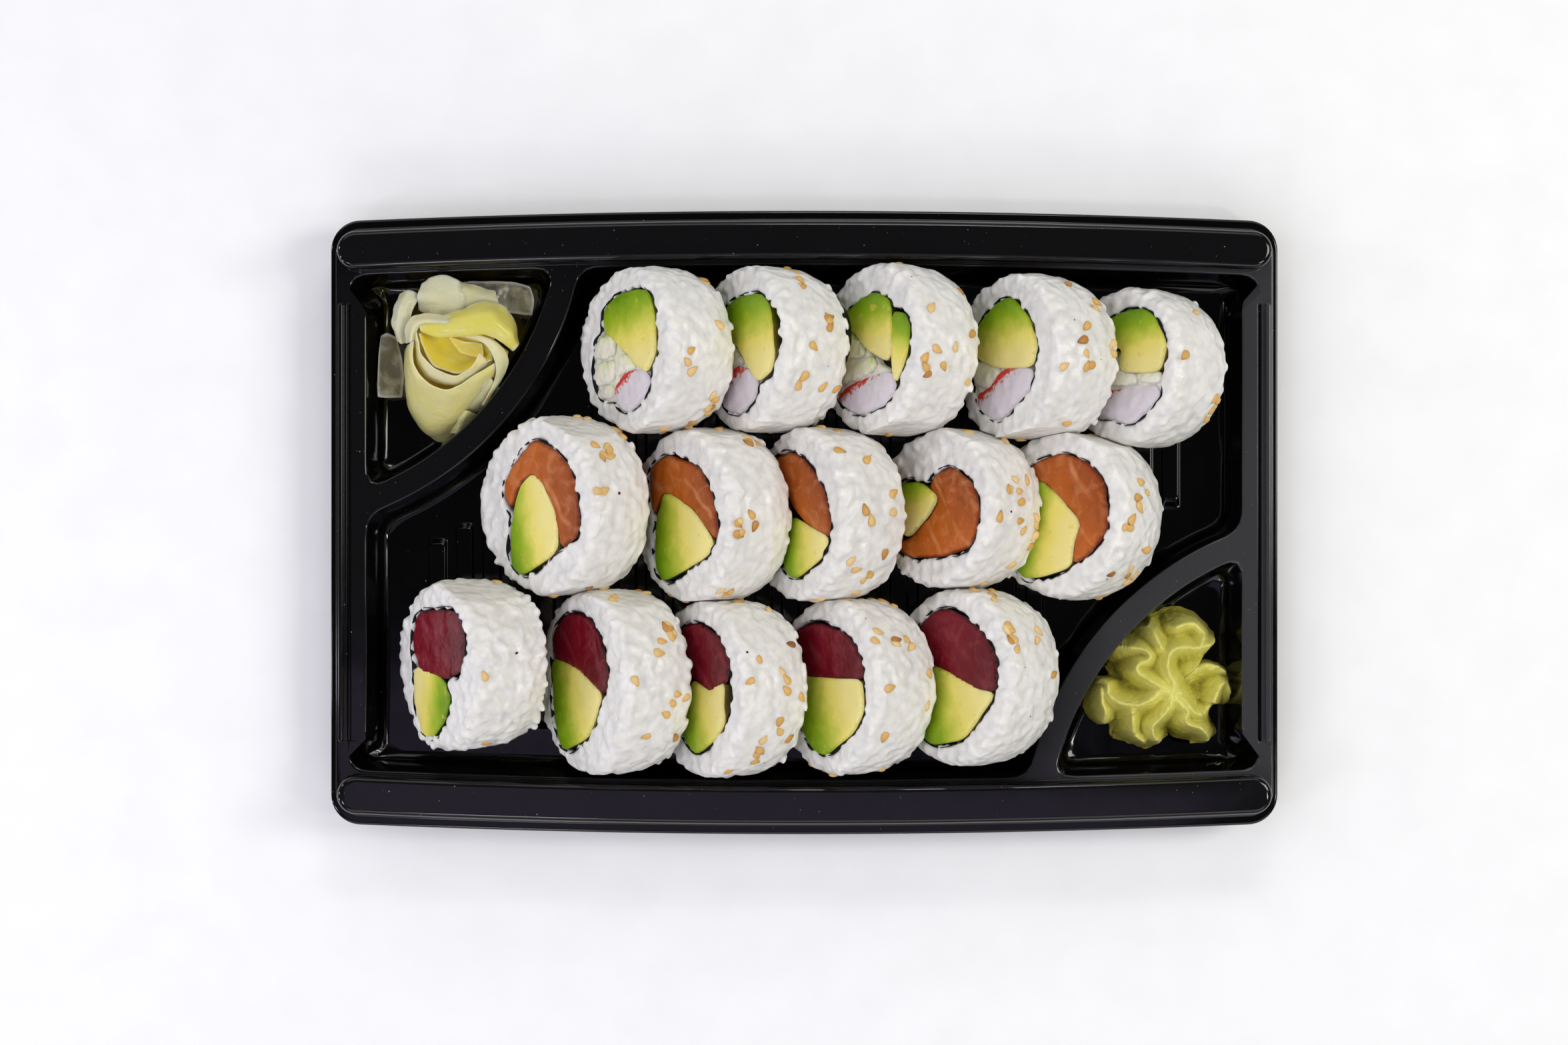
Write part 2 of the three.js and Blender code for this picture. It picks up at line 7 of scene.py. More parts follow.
import bmesh
import bpy
import numpy as np
from mathutils import Matrix, Vector, noise
from mathutils.bvhtree import BVHTree
from mathutils.geometry import delaunay_2d_cdt


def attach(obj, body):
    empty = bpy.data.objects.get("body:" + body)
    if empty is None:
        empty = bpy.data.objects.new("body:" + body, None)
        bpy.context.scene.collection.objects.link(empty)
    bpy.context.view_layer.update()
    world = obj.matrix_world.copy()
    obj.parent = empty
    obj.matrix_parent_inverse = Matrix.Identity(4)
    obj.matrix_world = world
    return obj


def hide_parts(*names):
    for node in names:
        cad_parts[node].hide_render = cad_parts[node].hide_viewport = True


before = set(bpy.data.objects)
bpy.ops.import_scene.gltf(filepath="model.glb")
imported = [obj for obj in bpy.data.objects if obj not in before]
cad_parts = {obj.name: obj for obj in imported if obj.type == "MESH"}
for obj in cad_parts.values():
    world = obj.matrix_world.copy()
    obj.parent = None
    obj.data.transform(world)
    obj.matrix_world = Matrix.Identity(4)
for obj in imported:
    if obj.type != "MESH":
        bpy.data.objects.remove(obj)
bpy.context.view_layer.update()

MM = 0.001
BODY = "root"

# ---- Driving dimensions of the tray, as in the solids ----

TRAY_HALF_LENGTH = 120
TRAY_HALF_WIDTH = 79.1
SIDE_BOW = 2.8
CORNER_RADIUS = 7.6
SHEET = 0.5  # real thickness of the plastic, thinner than in the solids
SKIRT_BOTTOM = 10.5
FLANGE_TOP = 13.5
RIM_TOP = 15
RIM_INSET_END = 1.4
RIM_INSET_SIDE = 2.4

BAR_TOP = 22
BAR_HALF_LENGTH = 117.4
BAR_MIDDLE = 71
BAR_HALF_WIDTH = 4.85
BAR_FOOT = 0.15
BAR_BOW = 2.85

DRAFT = math.tan(math.radians(8))
WELL_HALF_LENGTH = 115.1
WELL_HALF_WIDTH = 65.1
WELL_CORNER = 4.7  # how far the well's corners are rounded
FLOOR_FILLET = 2.5
WALL_FILLET = 0.6
EDGE_FILLETS = (0.5, 0.25, 0.3)  # over the skirt, at the foot of the rim and on it
BAR_FILLETS = (0.15, 1.5)  # at the foot and at the top
RIDGE_FILLETS = (0.15, 0.4)
GROOVE_FILLETS = (0.15, 0.15)
RIB_FILLETS = (0.35, 0.35)

SHELF_EDGE = 110.8
SHELF_HALF_WIDTH = 56.5
SHELF_CORNER = 2
RIDGE_MIDDLE = 117.2
RIDGE_HALF_WIDTH = 0.7
RIDGE_HEIGHT = 1.3
GROOVE_MIDDLE = 115.2
GROOVE_HALF_WIDTH = 0.5
GROOVE_DEPTH = 1.0

DIVIDER_CENTRE = (-138.7, 80.5)
DIVIDER_INNER_RADIUS = 77.1
DIVIDER_OUTER_RADIUS = 83.4
CORNER_WELL_MIDDLE = (-86, 36)
OUTLINE_STEP = 2.2  # between the points of a well's outline

RIB_COUNT = 28
RIB_PITCH = 7
RIB_HALF_WIDTH = 2.1
RIB_TOP = 1.6
RIB_REACH = 52
RIB_CLEARANCE = 12.9
RIB_END_SLANT = 4  # how much flatter a rib's ends are than its sides

SCUFFED_END = (50, 78)  # where along X the tray's tops start to be paler, and where they are fully so: a little scuffing, with a painted reflection of the light at the right


# ---- Making pieces ----

def finish_piece(piece, material, replaced=()):
    piece.data.materials.clear()
    piece.data.materials.append(material)
    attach(piece, BODY)
    if replaced:
        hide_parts(*replaced)
    return piece


def new_object(name, points, faces):
    """A smooth mesh object from points in millimetres."""
    mesh = bpy.data.meshes.new(name)
    mesh.from_pydata((np.asarray(points, float) * MM).tolist(), [], faces)
    mesh.shade_smooth()
    piece = bpy.data.objects.new(name, mesh)
    bpy.context.collection.objects.link(piece)
    return piece


def modify(piece, kind, **settings):
    modifier = piece.modifiers.new(kind.lower(), kind)
    for setting, value in settings.items():
        setattr(modifier, setting, value)


def apply_modifiers(piece):
    depsgraph = bpy.context.evaluated_depsgraph_get()
    mesh = bpy.data.meshes.new_from_object(piece.evaluated_get(depsgraph))
    piece.modifiers.clear()
    old = piece.data
    piece.data = mesh
    bpy.data.meshes.remove(old)
    mesh.shade_smooth()


def read_points(mesh):
    points = np.empty(len(mesh.vertices) * 3)
    mesh.vertices.foreach_get("co", points)
    return points.reshape(-1, 3) / MM


def write_points(mesh, points):
    mesh.vertices.foreach_set("co", (points * MM).ravel())
    mesh.update()


def circle_angles(count):
    return np.arange(count) * 2 * math.pi / count


def on_circle(angles, height=0.0):
    """Points on the unit circle, at a height."""
    return np.stack(np.broadcast_arrays(np.cos(angles), np.sin(angles), height), axis=-1)


def unit(vectors):
    """The same directions, at length 1."""
    return vectors / np.linalg.norm(vectors, axis=-1)[..., None]


def raised(flat, height):
    """Points of a plane, set at a height."""
    return np.column_stack([flat, np.broadcast_to(height, len(flat))])


def away_from_middle(outline):
    """The ways from the middle of an outline to its points."""
    return unit(outline - outline.mean(axis=0))


def lengths_round(outline):
    """How far along a closed outline each point lies, and the full way round."""
    lengths = np.linalg.norm(np.roll(outline, -1, axis=0) - outline, axis=1)
    return np.concatenate([[0], np.cumsum(lengths)])


def ring_faces(levels, count, closed=False):
    """Faces between rings of equal length, each over the one before; a closed body's last joins its first."""
    faces = []
    for level in range(levels if closed else levels - 1):
        low, high = level * count, (level + 1) % levels * count
        for i in range(count):
            on = (i + 1) % count
            faces.append((low + i, low + on, high + on, high + i))
    return faces


def store(piece, name, values):
    """Keeps a number or a vector for each point, for the materials to read."""
    values = np.asarray(values, float)
    kind, field = ("FLOAT_VECTOR", "vector") if values.ndim > 1 else ("FLOAT", "value")
    piece.data.attributes.new(name, kind, "POINT").data.foreach_set(field, values.ravel())


# ---- Materials ----

def rgba(colour):
    """A colour, or a grey given as one number, as a socket takes it; a socket stays as it is."""
    if isinstance(colour, bpy.types.NodeSocket):
        return colour
    return (*(colour if isinstance(colour, tuple) else (colour,) * 3), 1)


class Finish:
    """
    A material whose nodes are added one at a time; sizes of textures are in millimetres. Its glow is how
    much light goes in, how far each colour gets and the scale of that; its film is a wet coat and how rough
    that is.
    """

    def __init__(self, name, roughness, ior=1.4, shine=0.5, glow=None, film=None):
        self.material = bpy.data.materials.new(name)
        self.material.use_nodes = True
        self.tree = self.material.node_tree
        self.shader = self.tree.nodes["Principled BSDF"]
        sockets = {"Roughness": roughness, "IOR": ior, "Specular IOR Level": shine}
        if glow:
            sockets["Subsurface Weight"], sockets["Subsurface Radius"], scale = glow
            sockets["Subsurface Scale"] = scale * MM
        if film:
            sockets["Coat Weight"], sockets["Coat Roughness"] = film
        for socket, value in sockets.items():
            self.shader.inputs[socket].default_value = value

    def add(self, kind, inputs, **settings):
        node = self.tree.nodes.new("ShaderNode" + kind)
        for setting, value in settings.items():
            setattr(node, setting, value)
        for socket, value in inputs.items():
            if isinstance(value, bpy.types.NodeSocket):
                self.tree.links.new(value, node.inputs[socket])
            else:
                node.inputs[socket].default_value = value
        return node

    def set(self, socket, source):
        self.tree.links.new(source, self.shader.inputs[socket])

    def colour(self, source):
        self.set("Base Color", source)

    def relief(self, size, depth, below=None, **noise):
        """Fine relief all over the surface."""
        self.set("Normal", self.bump(self.noise(size, **noise), depth, below=below))

    def stored(self, name):
        """A number that the mesh keeps for each of its points."""
        return self.add("Attribute", {}, attribute_name=name).outputs["Fac"]

    def place(self, attribute=None):
        """Where a point is: in the tray's frame, or in the frame that an attribute holds."""
        if attribute:
            return self.add("Attribute", {}, attribute_name=attribute).outputs["Vector"]
        return self.add("TexCoord", {}).outputs["Object"]

    def noise(self, size, detail=2, distortion=0, place=None):
        inputs = {"Vector": place or self.place(), "Scale": 1 / (size * MM), "Detail": detail}
        return self.add("TexNoise", {**inputs, "Distortion": distortion}).outputs["Fac"]

    def cells(self, size):
        """How far a point is from the middle of the nearest of many rounded cells."""
        inputs = {"Vector": self.place(), "Scale": 1 / (size * MM), "Smoothness": 0.3}
        return self.add("TexVoronoi", inputs, feature="SMOOTH_F1").outputs["Distance"]

    def ramp(self, factor, *stops):
        node = self.add("ValToRGB", {"Fac": factor})
        elements = node.color_ramp.elements
        while len(elements) < len(stops):
            elements.new(0.5)
        for element, (position, colour) in zip(elements, stops):
            element.position = position
            element.color = rgba(colour)
        return node.outputs["Color"]

    def rise(self, coordinate, start, end):
        """From 0 to 1 between two values of a coordinate."""
        limits = {"From Min": start * MM, "From Max": end * MM}
        return self.add("MapRange", {"Value": coordinate, **limits}).outputs["Result"]

    def mix(self, factor, first, second):
        """Sockets 6 and 7 of the node are its colours, and its output 2 is theirs."""
        return self.add("Mix", {0: factor, 6: rgba(first), 7: rgba(second)}, data_type="RGBA").outputs[2]

    def multiply(self, first, second):
        return self.add("Math", {0: first, 1: second}, operation="MULTIPLY").outputs[0]

    def offset(self, value, texture, reach):
        """The value moved up or down by a texture that runs from 0 to 1."""
        moved = self.add("Math", {0: texture, 1: reach, 2: -reach / 2}, operation="MULTIPLY_ADD").outputs[0]
        return self.add("Math", {0: value, 1: moved}, operation="ADD").outputs[0]

    def bump(self, height, depth, below=None, invert=False):
        inputs = {"Height": height, "Distance": depth * MM}
        if below:
            inputs["Normal"] = below
        return self.add("Bump", inputs, invert=invert).outputs["Normal"]


def black_plastic():
    """Glossy black sheet. Towards the wasabi's end the tops of the rim and dividers are paler: a little
    scuffing, with a painted reflection of the light at the right.
    """
    finish = Finish("black_plastic", 0.1, ior=1.5)
    smears = finish.noise(14, detail=4, distortion=1.5)
    finish.set("Roughness", finish.ramp(smears, (0.35, 0.07), (0.75, 0.15)))
    x, _, z = finish.add("SeparateXYZ", {"Vector": finish.place()}).outputs
    # the paler tops towards the right end are a painted reflection of the light at the right, over a little
    # scuffing
    at_right = finish.rise(x, *SCUFFED_END)
    on_top = finish.rise(z, RIM_TOP - 0.8, RIM_TOP - 0.2)
    below_bars = finish.rise(z, RIM_TOP + 3, RIM_TOP + 2)
    scuffed = finish.multiply(at_right, finish.multiply(below_bars, on_top))
    plain = finish.mix(on_top, (0.0016, 0.0016, 0.0018), (0.0046, 0.0046, 0.005))
    base = finish.mix(scuffed, plain, (0.042, 0.042, 0.045))
    dust = finish.ramp(finish.noise(0.7, detail=1), (0.8, 0.0), (0.815, 1.0))
    finish.colour(finish.mix(dust, base, 0.2))
    finish.relief(25, 0.06, detail=1)
    return finish.material


def rice():
    """Pressed grains, paler in patches, with painted shade in the creases between them and a wet film over
    them.
    """
    finish = Finish("rice", 0.42, shine=0.35, glow=(0.7, (1.0, 0.95, 0.8), 1.0), film=(0.35, 0.12))
    patchy = finish.noise(4.5, detail=3)
    patches = finish.ramp(patchy, (0.35, (0.79, 0.775, 0.72)), (0.65, (0.86, 0.845, 0.80)))
    grains_apart = finish.cells(2.4)
    # the creases between the grains are darkened towards grey as painted shade
    creases = finish.ramp(grains_apart, (0.45, 0.0), (0.8, 0.4))
    finish.colour(finish.mix(creases, patches, 0.62))
    domes = finish.bump(grains_apart, 0.3, invert=True)
    finish.relief(0.3, 0.02, below=domes)
    finish.set("Coat Normal", finish.bump(finish.noise(0.55), 0.1, below=domes))
    return finish.material


def nori():
    finish = Finish("nori", 0.5, shine=0.25)
    tone = finish.noise(0.8, detail=3)
    finish.colour(finish.ramp(tone, (0.35, (0.003, 0.004, 0.004)), (0.7, (0.01, 0.013, 0.012))))
    finish.relief(0.5, 0.1, detail=3)
    return finish.material


def avocado():
    glow = (0.35, (1, 0.9, 0.35), 1.2)
    finish = Finish("avocado", 0.36, ior=1.42, shine=0.25, glow=glow, film=(0.15, 0.2))
    place = finish.place("grain")
    at = finish.offset(finish.stored("skin"), finish.noise(3.5, detail=3, place=place), 0.25)
    flesh = finish.ramp(
        at, (0.18, (0.88, 0.77, 0.29)), (0.44, (0.83, 0.73, 0.16)), (0.6, (0.54, 0.58, 0.06)),
        (0.76, (0.28, 0.43, 0.012)), (1.0, (0.13, 0.27, 0.004)),
    )
    spots = finish.ramp(finish.noise(2.2, detail=1, place=place), (0.68, 0.0), (0.76, 0.4))
    finish.colour(finish.mix(spots, flesh, (0.80, 0.53, 0.10)))
    finish.relief(0.9, 0.05, detail=3, place=place)
    return finish.material


def fish(name, flesh, dark, fat, fat_share, line_size):
    """Raw fish: wet flesh, darker at its edges, with a fine grain and pale curved lines of fat."""
    finish = Finish(name, 0.3, shine=0.15, glow=(0.3, (1, 0.3, 0.15), 1.4), film=(0.35, 0.05))
    place = finish.place("grain")
    from_edge = finish.ramp(finish.stored("edge"), (0.0, 0.0), (0.9, 1.0))
    inner = finish.offset(from_edge, finish.noise(3, detail=3, place=place), 1.0)
    body = finish.ramp(inner, (0.25, dark), (0.95, flesh))
    bands = {"Scale": 1 / (line_size * MM) / 3.2, "Distortion": 6, "Detail": 2, "Detail Scale": 0.6}
    lines = finish.add("TexWave", {"Vector": place, **bands}, bands_direction="DIAGONAL").outputs["Fac"]
    faded = finish.ramp(finish.noise(6, detail=1, place=place), (0.4, 0.0), (0.65, 1.0))
    line = finish.ramp(lines, (0.9, 0.0), (1.0, fat_share))
    fatty = finish.multiply(line, faded)
    shaded = finish.mix(finish.ramp(finish.stored("skin"), (0.5, 0.0), (1.0, 0.7)), body, dark)
    marbled = finish.ramp(finish.noise(4, detail=3, distortion=1, place=place), (0.5, 0.0), (0.75, 0.4))
    finish.colour(finish.mix(fatty, finish.mix(marbled, shaded, fat), fat))
    grain = finish.bump(finish.noise(0.9, place=place), 0.1)
    finish.set("Normal", finish.bump(lines, 0.08, below=grain))
    finish.set("Coat Normal", finish.bump(finish.noise(1.3, detail=3, place=place), 0.5))
    return finish.material


def salmon():
    return fish("salmon", (0.50, 0.12, 0.014), (0.19, 0.026, 0.004), (0.70, 0.31, 0.12), 0.5, 6)


def tuna():
    return fish("tuna", (0.18, 0.006, 0.015), (0.06, 0.002, 0.005), (0.33, 0.05, 0.065), 0.4, 8)


def surimi():
    finish = Finish("surimi", 0.4, shine=0.35, glow=(0.4, (1, 0.8, 0.8), 1.0), film=(0.15, 0.25))
    place = finish.place("grain")
    at = finish.offset(finish.stored("skin"), finish.noise(1.1, detail=3, place=place), 0.6)
    red = finish.ramp(at, (0.72, 0.0), (0.84, 1.0))
    finish.colour(finish.mix(red, (0.72, 0.66, 0.69), (0.66, 0.05, 0.03)))
    finish.relief(0.7, 0.1, detail=3, place=place)
    return finish.material


def cucumber():
    glow = (0.6, (1, 1, 0.6), 1.6)
    finish = Finish("cucumber", 0.25, ior=1.38, shine=0.4, glow=glow, film=(0.3, 0.12))
    place = finish.place("grain")
    at = finish.offset(finish.stored("skin"), finish.noise(2, place=place), 0.5)
    flesh = finish.ramp(at, (0.5, (0.88, 0.85, 0.69)), (0.9, (0.80, 0.82, 0.5)), (1.0, (0.55, 0.64, 0.25)))
    finish.colour(flesh)
    finish.relief(0.7, 0.1, place=place)
    return finish.material


def sesame():
    finish = Finish("sesame", 0.4, ior=1.45, glow=(0.15, (1, 0.7, 0.4), 0.5))
    finish.colour(finish.ramp(
        finish.stored("toasted"), (0.0, (0.82, 0.60, 0.28)), (0.45, (0.72, 0.42, 0.11)),
        (0.8, (0.44, 0.19, 0.035)), (1.0, (0.22, 0.09, 0.02)),
    ))
    finish.relief(0.3, 0.04)
    return finish.material


def ginger_flesh():
    """Pickled ginger: golden where it lies in folds, paler at its edges, nearly clear where it is thin."""
    glow = (0.7, (1, 0.85, 0.3), 2.2)
    finish = Finish("pickled_ginger", 0.3, ior=1.38, shine=0.25, glow=glow, film=(0.3, 0.08))
    clear, edge = finish.stored("clear"), finish.stored("edge")
    fibres = finish.noise(1.2, detail=3, place=finish.place("fibres"))
    cloudy = finish.offset(finish.noise(7), fibres, 0.5)
    golden = finish.offset(finish.stored("golden"), cloudy, 0.5)
    flesh = finish.mix(golden, (0.88, 0.83, 0.52), (0.95, 0.70, 0.03))
    pale = finish.ramp(edge, (0.7, 0.0), (1.0, 0.7))
    finish.colour(finish.mix(pale, flesh, (0.82, 0.78, 0.58)))
    middle = finish.ramp(edge, (0.6, 1.0), (1.0, 0.4))
    streaks = finish.ramp(finish.noise(4, detail=3), (0.45, 1.0), (0.7, 0.7))
    finish.set("Transmission Weight", finish.multiply(finish.multiply(clear, middle), streaks))
    finish.set("Roughness", finish.ramp(clear, (0.0, 0.3), (0.9, 0.08)))
    finish.set("Normal", finish.bump(fibres, 0.1, below=finish.bump(finish.noise(2.4, detail=3), 0.3)))
    return finish.material


def wasabi():
    """Grainy paste, paler along its crests; the dark deep in the folds between them is painted shade."""
    finish = Finish("wasabi", 0.4, shine=0.4, glow=(0.25, (1, 0.9, 0.3), 0.7), film=(0.25, 0.22))
    at = finish.offset(finish.stored("crest"), finish.noise(1.2, detail=3), 0.5)
    # the ramp's dark end, deep in the folds away from the crests, is painted shade
    finish.colour(finish.ramp(
        at, (0.0, (0.24, 0.21, 0.014)), (0.4, (0.60, 0.55, 0.085)), (0.9, (0.74, 0.69, 0.17)),
    ))
    coarse = finish.bump(finish.noise(0.7, detail=3), 0.14)
    finish.relief(0.25, 0.05, below=coarse)
    return finish.material


# ---- The tray ----

def rounded_path(corners, radii, steps=4):
    """Arcs in place of the inner corners of a bent line; its two ends only say which way it runs."""
    path = []
    corners = [Vector(corner) for corner in corners]
    for before, corner, after, radius in zip(corners, corners[1:], corners[2:], radii):
        back = (before - corner).normalized()
        on = (after - corner).normalized()
        half = back.angle(on) / 2
        centre = corner + (back + on).normalized() * radius / math.sin(half)
        cut = radius / math.tan(half)
        start = corner + back * cut - centre
        end = corner + on * cut - centre
        path += [centre + radius * start.slerp(end, step / steps) for step in range(steps + 1)]
    return path


def arc(x, y, radius, start, end, steps):
    """Points on part of a circle, with its ends."""
    angles = np.linspace(start, end, steps + 1)
    return [(x + radius * math.cos(angle), y + radius * math.sin(angle)) for angle in angles]


def bowed_outline(half_length, half_width, radius, corner_steps=10, bow_steps=24):
    """A rectangle with round corners whose long sides bow outwards."""
    corner_x = half_length - radius
    corner_y = half_width - SIDE_BOW * (corner_x / TRAY_HALF_LENGTH) ** 2 - radius
    points = []
    for side in (1, -1):
        for end in (1, -1):
            start = math.pi / 2 * ((1 - side) + (1 - end) / 2)
            corner = (side * end * corner_x, side * corner_y)
            points += arc(*corner, radius, start, start + math.pi / 2, corner_steps)
            if end == 1:
                for share in np.linspace(1, -1, bow_steps + 1)[1:-1]:
                    x = side * corner_x * share
                    points.append((x, side * (half_width - SIDE_BOW * (x / TRAY_HALF_LENGTH) ** 2)))
    return np.array(points)


def bar_outline(side, half_width, end_steps=12, bow_steps=24):
    end_x = BAR_HALF_LENGTH - BAR_HALF_WIDTH
    points = []
    for edge in (1, -1):
        middle_y = BAR_MIDDLE - BAR_BOW * (end_x / BAR_HALF_LENGTH) ** 2
        for angle in np.linspace(-math.pi / 2, math.pi / 2, end_steps + 1):
            x = edge * (end_x + half_width * math.cos(angle))
            points.append((x, middle_y + edge * half_width * math.sin(angle)))
        for share in np.linspace(1, -1, bow_steps + 1)[1:-1]:
            x = edge * end_x * share
            points.append((x, BAR_MIDDLE - BAR_BOW * (x / BAR_HALF_LENGTH) ** 2 + edge * half_width))
    return side * np.array(points)


def strip_outline(centre, half_width, half_length, radius, corner_steps=3):
    """A narrow rectangle with round corners."""
    points = []
    for quarter, (right, up) in enumerate(((1, 1), (-1, 1), (-1, -1), (1, -1))):
        corner = (centre[0] + right * (half_width - radius), centre[1] + up * (half_length - radius))
        start = quarter * math.pi / 2
        points += arc(*corner, radius, start, start + math.pi / 2, corner_steps)
    return np.array(points)


def soft_minimum(first, second, reach):
    closeness = np.maximum(reach - np.abs(first - second), 0) / reach
    return np.minimum(first, second) - closeness ** 2 * reach / 4


def well_depth(x, y):
    """How far a point lies inside the edge of the whole well, which the shelves at its ends cut into."""
    side = WELL_HALF_WIDTH - SIDE_BOW * (x / TRAY_HALF_LENGTH) ** 2 - np.abs(y)
    end = WELL_HALF_LENGTH - np.abs(x)
    shelf = -soft_minimum(np.abs(x) - SHELF_EDGE, SHELF_HALF_WIDTH - np.abs(y), SHELF_CORNER)
    return soft_minimum(soft_minimum(side, end, WELL_CORNER), shelf, SHELF_CORNER / 2)


def divider_distance(x, y, side):
    return np.hypot(side * x - DIVIDER_CENTRE[0], side * y - DIVIDER_CENTRE[1])


def main_depth(x, y):
    depth = well_depth(x, y)
    for side in (1, -1):
        depth = soft_minimum(depth, divider_distance(x, y, side) - DIVIDER_OUTER_RADIUS, WELL_CORNER)
    return depth


def corner_depth(x, y):
    """The same for the ginger's well; the wasabi's is it turned half round."""
    return soft_minimum(well_depth(x, y), DIVIDER_INNER_RADIUS - divider_distance(x, y, 1), WELL_CORNER)


def contour(depth, centre, angles, inset):
    """Where rays from the centre first come within the inset of the well's edge."""
    steps = np.arange(0, 145, 0.25)
    x = centre[0] + np.outer(np.cos(angles), steps)
    y = centre[1] + np.outer(np.sin(angles), steps)
    gap = depth(x, y) - inset
    rows = np.arange(len(angles))
    outside = np.argmax(gap < 0, axis=1)
    before, after = gap[rows, outside - 1], gap[rows, outside]
    reach = steps[outside - 1] + before / (before - after) * (steps[1] - steps[0])
    return np.stack([centre[0] + reach * np.cos(angles), centre[1] + reach * np.sin(angles)], axis=1)


def even_angles(depth, centre, inset, spacing):
    """Directions whose rays meet the well's edge at even steps."""
    angles = circle_angles(3000)
    along = lengths_round(contour(depth, centre, angles, inset))
    count = round(along[-1] / spacing)
    return np.interp(np.arange(count) / count * along[-1], along, np.append(angles, 2 * math.pi))


INSIDE_WITH_HOLES = 2  # what delaunay_2d_cdt gives back
SAME_PLACE = 1e-6


class Sheet:
    """An open surface made of bands between like loops, and of flat fills between loops."""

    def __init__(self):
        self.points = []
        self.faces = []

    def loop(self, outline, z):
        start = len(self.points)
        self.points += [(x, y, z) for x, y in outline]
        return list(range(start, len(self.points)))

    def band(self, outline_at, path):
        """Joins loops along a path of offset and height; returns the first and the last loop."""
        loops = [self.loop(outline_at(offset), z) for offset, z in path]
        for low, high in zip(loops, loops[1:]):
            for i, (a, b) in enumerate(zip(low, high)):
                self.faces.append((low[i - 1], a, b, high[i - 1]))
        return loops[0], loops[-1]

    def fill(self, *loops):
        """Fills the flat area inside the first loop and outside the others, or inside a lone loop."""
        ids = [index for loop in loops for index in loop]
        place = {index: order for order, index in enumerate(ids)}
        outlines = [[place[index] for index in loop] for loop in loops]
        flat = [Vector(self.points[index][:2]) for index in ids]
        _, _, triangles, sources, _, _ = delaunay_2d_cdt(flat, [], outlines, INSIDE_WITH_HOLES, SAME_PLACE)
        self.faces += [[ids[sources[corner][0]] for corner in triangle] for triangle in triangles]


def rib_end(x):
    reach = DIVIDER_OUTER_RADIUS + RIB_CLEARANCE
    across = x - DIVIDER_CENTRE[0]
    if across >= reach:
        return RIB_REACH
    return min(RIB_REACH, DIVIDER_CENTRE[1] - math.sqrt(reach ** 2 - across ** 2))


def add_wells(sheet):
    """The walls and floors of the three wells; returns their top loops."""
    foot = (RIM_TOP - SHEET) * DRAFT
    wall = [(-2, RIM_TOP), (0, RIM_TOP), (foot, SHEET), (foot + 9, SHEET)]
    path = rounded_path(wall, [WALL_FILLET, FLOOR_FILLET], steps=6)
    main_angles = even_angles(main_depth, (0, 0), foot, OUTLINE_STEP)
    top, floor = sheet.band(lambda inset: contour(main_depth, (0, 0), main_angles, inset), path)
    rib_path = rounded_path([(2, SHEET), (0.3, SHEET), (-0.15, RIB_TOP), (-2, RIB_TOP)], RIB_FILLETS)
    rib_feet = []
    for index in range(RIB_COUNT):
        x = (index - (RIB_COUNT - 1) / 2) * RIB_PITCH
        high, low = rib_end(x), -rib_end(-x)

        def rib_outline(offset, centre=(x, (high + low) / 2), reach=(high - low) / 2):
            return strip_outline(centre, RIB_HALF_WIDTH + offset, reach + RIB_END_SLANT * offset, 1.2)

        rib_foot, rib_top = sheet.band(rib_outline, rib_path)
        sheet.fill(rib_top)
        rib_feet.append(rib_foot)
    sheet.fill(floor, *rib_feet)
    corner_angles = even_angles(corner_depth, CORNER_WELL_MIDDLE, foot, OUTLINE_STEP)
    tops = [top]
    for side in (1, -1):
        def corner_outline(inset, side=side):
            return side * contour(corner_depth, CORNER_WELL_MIDDLE, corner_angles, inset)

        top, floor = sheet.band(corner_outline, path)
        sheet.fill(floor)
        tops.append(top)
    return tops


def add_raised(sheet):
    """The bars, ridges and grooves on the rim; returns their feet."""
    feet = []
    bar_path = rounded_path(
        [(3, RIM_TOP), (BAR_FOOT, RIM_TOP), (-0.1, BAR_TOP), (-4, BAR_TOP)], BAR_FILLETS, steps=6,
    )
    ridge_top = RIM_TOP + RIDGE_HEIGHT
    ridge_path = rounded_path([(1, RIM_TOP), (0, RIM_TOP), (-0.1, ridge_top), (-1, ridge_top)], RIDGE_FILLETS)
    groove_floor = RIM_TOP - GROOVE_DEPTH
    groove_path = rounded_path(
        [(1, RIM_TOP), (0, RIM_TOP), (-0.15, groove_floor), (-1, groove_floor)], GROOVE_FILLETS,
    )
    for side in (1, -1):
        foot, top = sheet.band(lambda offset: bar_outline(side, BAR_HALF_WIDTH + offset), bar_path)
        sheet.fill(top)
        feet.append(foot)
        for middle, half_width, path in (
            (RIDGE_MIDDLE, RIDGE_HALF_WIDTH, ridge_path), (GROOVE_MIDDLE, GROOVE_HALF_WIDTH, groove_path),
        ):
            def outline(offset, middle=middle, half_width=half_width):
                width = half_width + offset
                return strip_outline((side * middle, 0), width, SHELF_HALF_WIDTH - 1 + offset, width * 0.9)

            foot, top = sheet.band(outline, path)
            sheet.fill(top)
            feet.append(foot)
    return feet


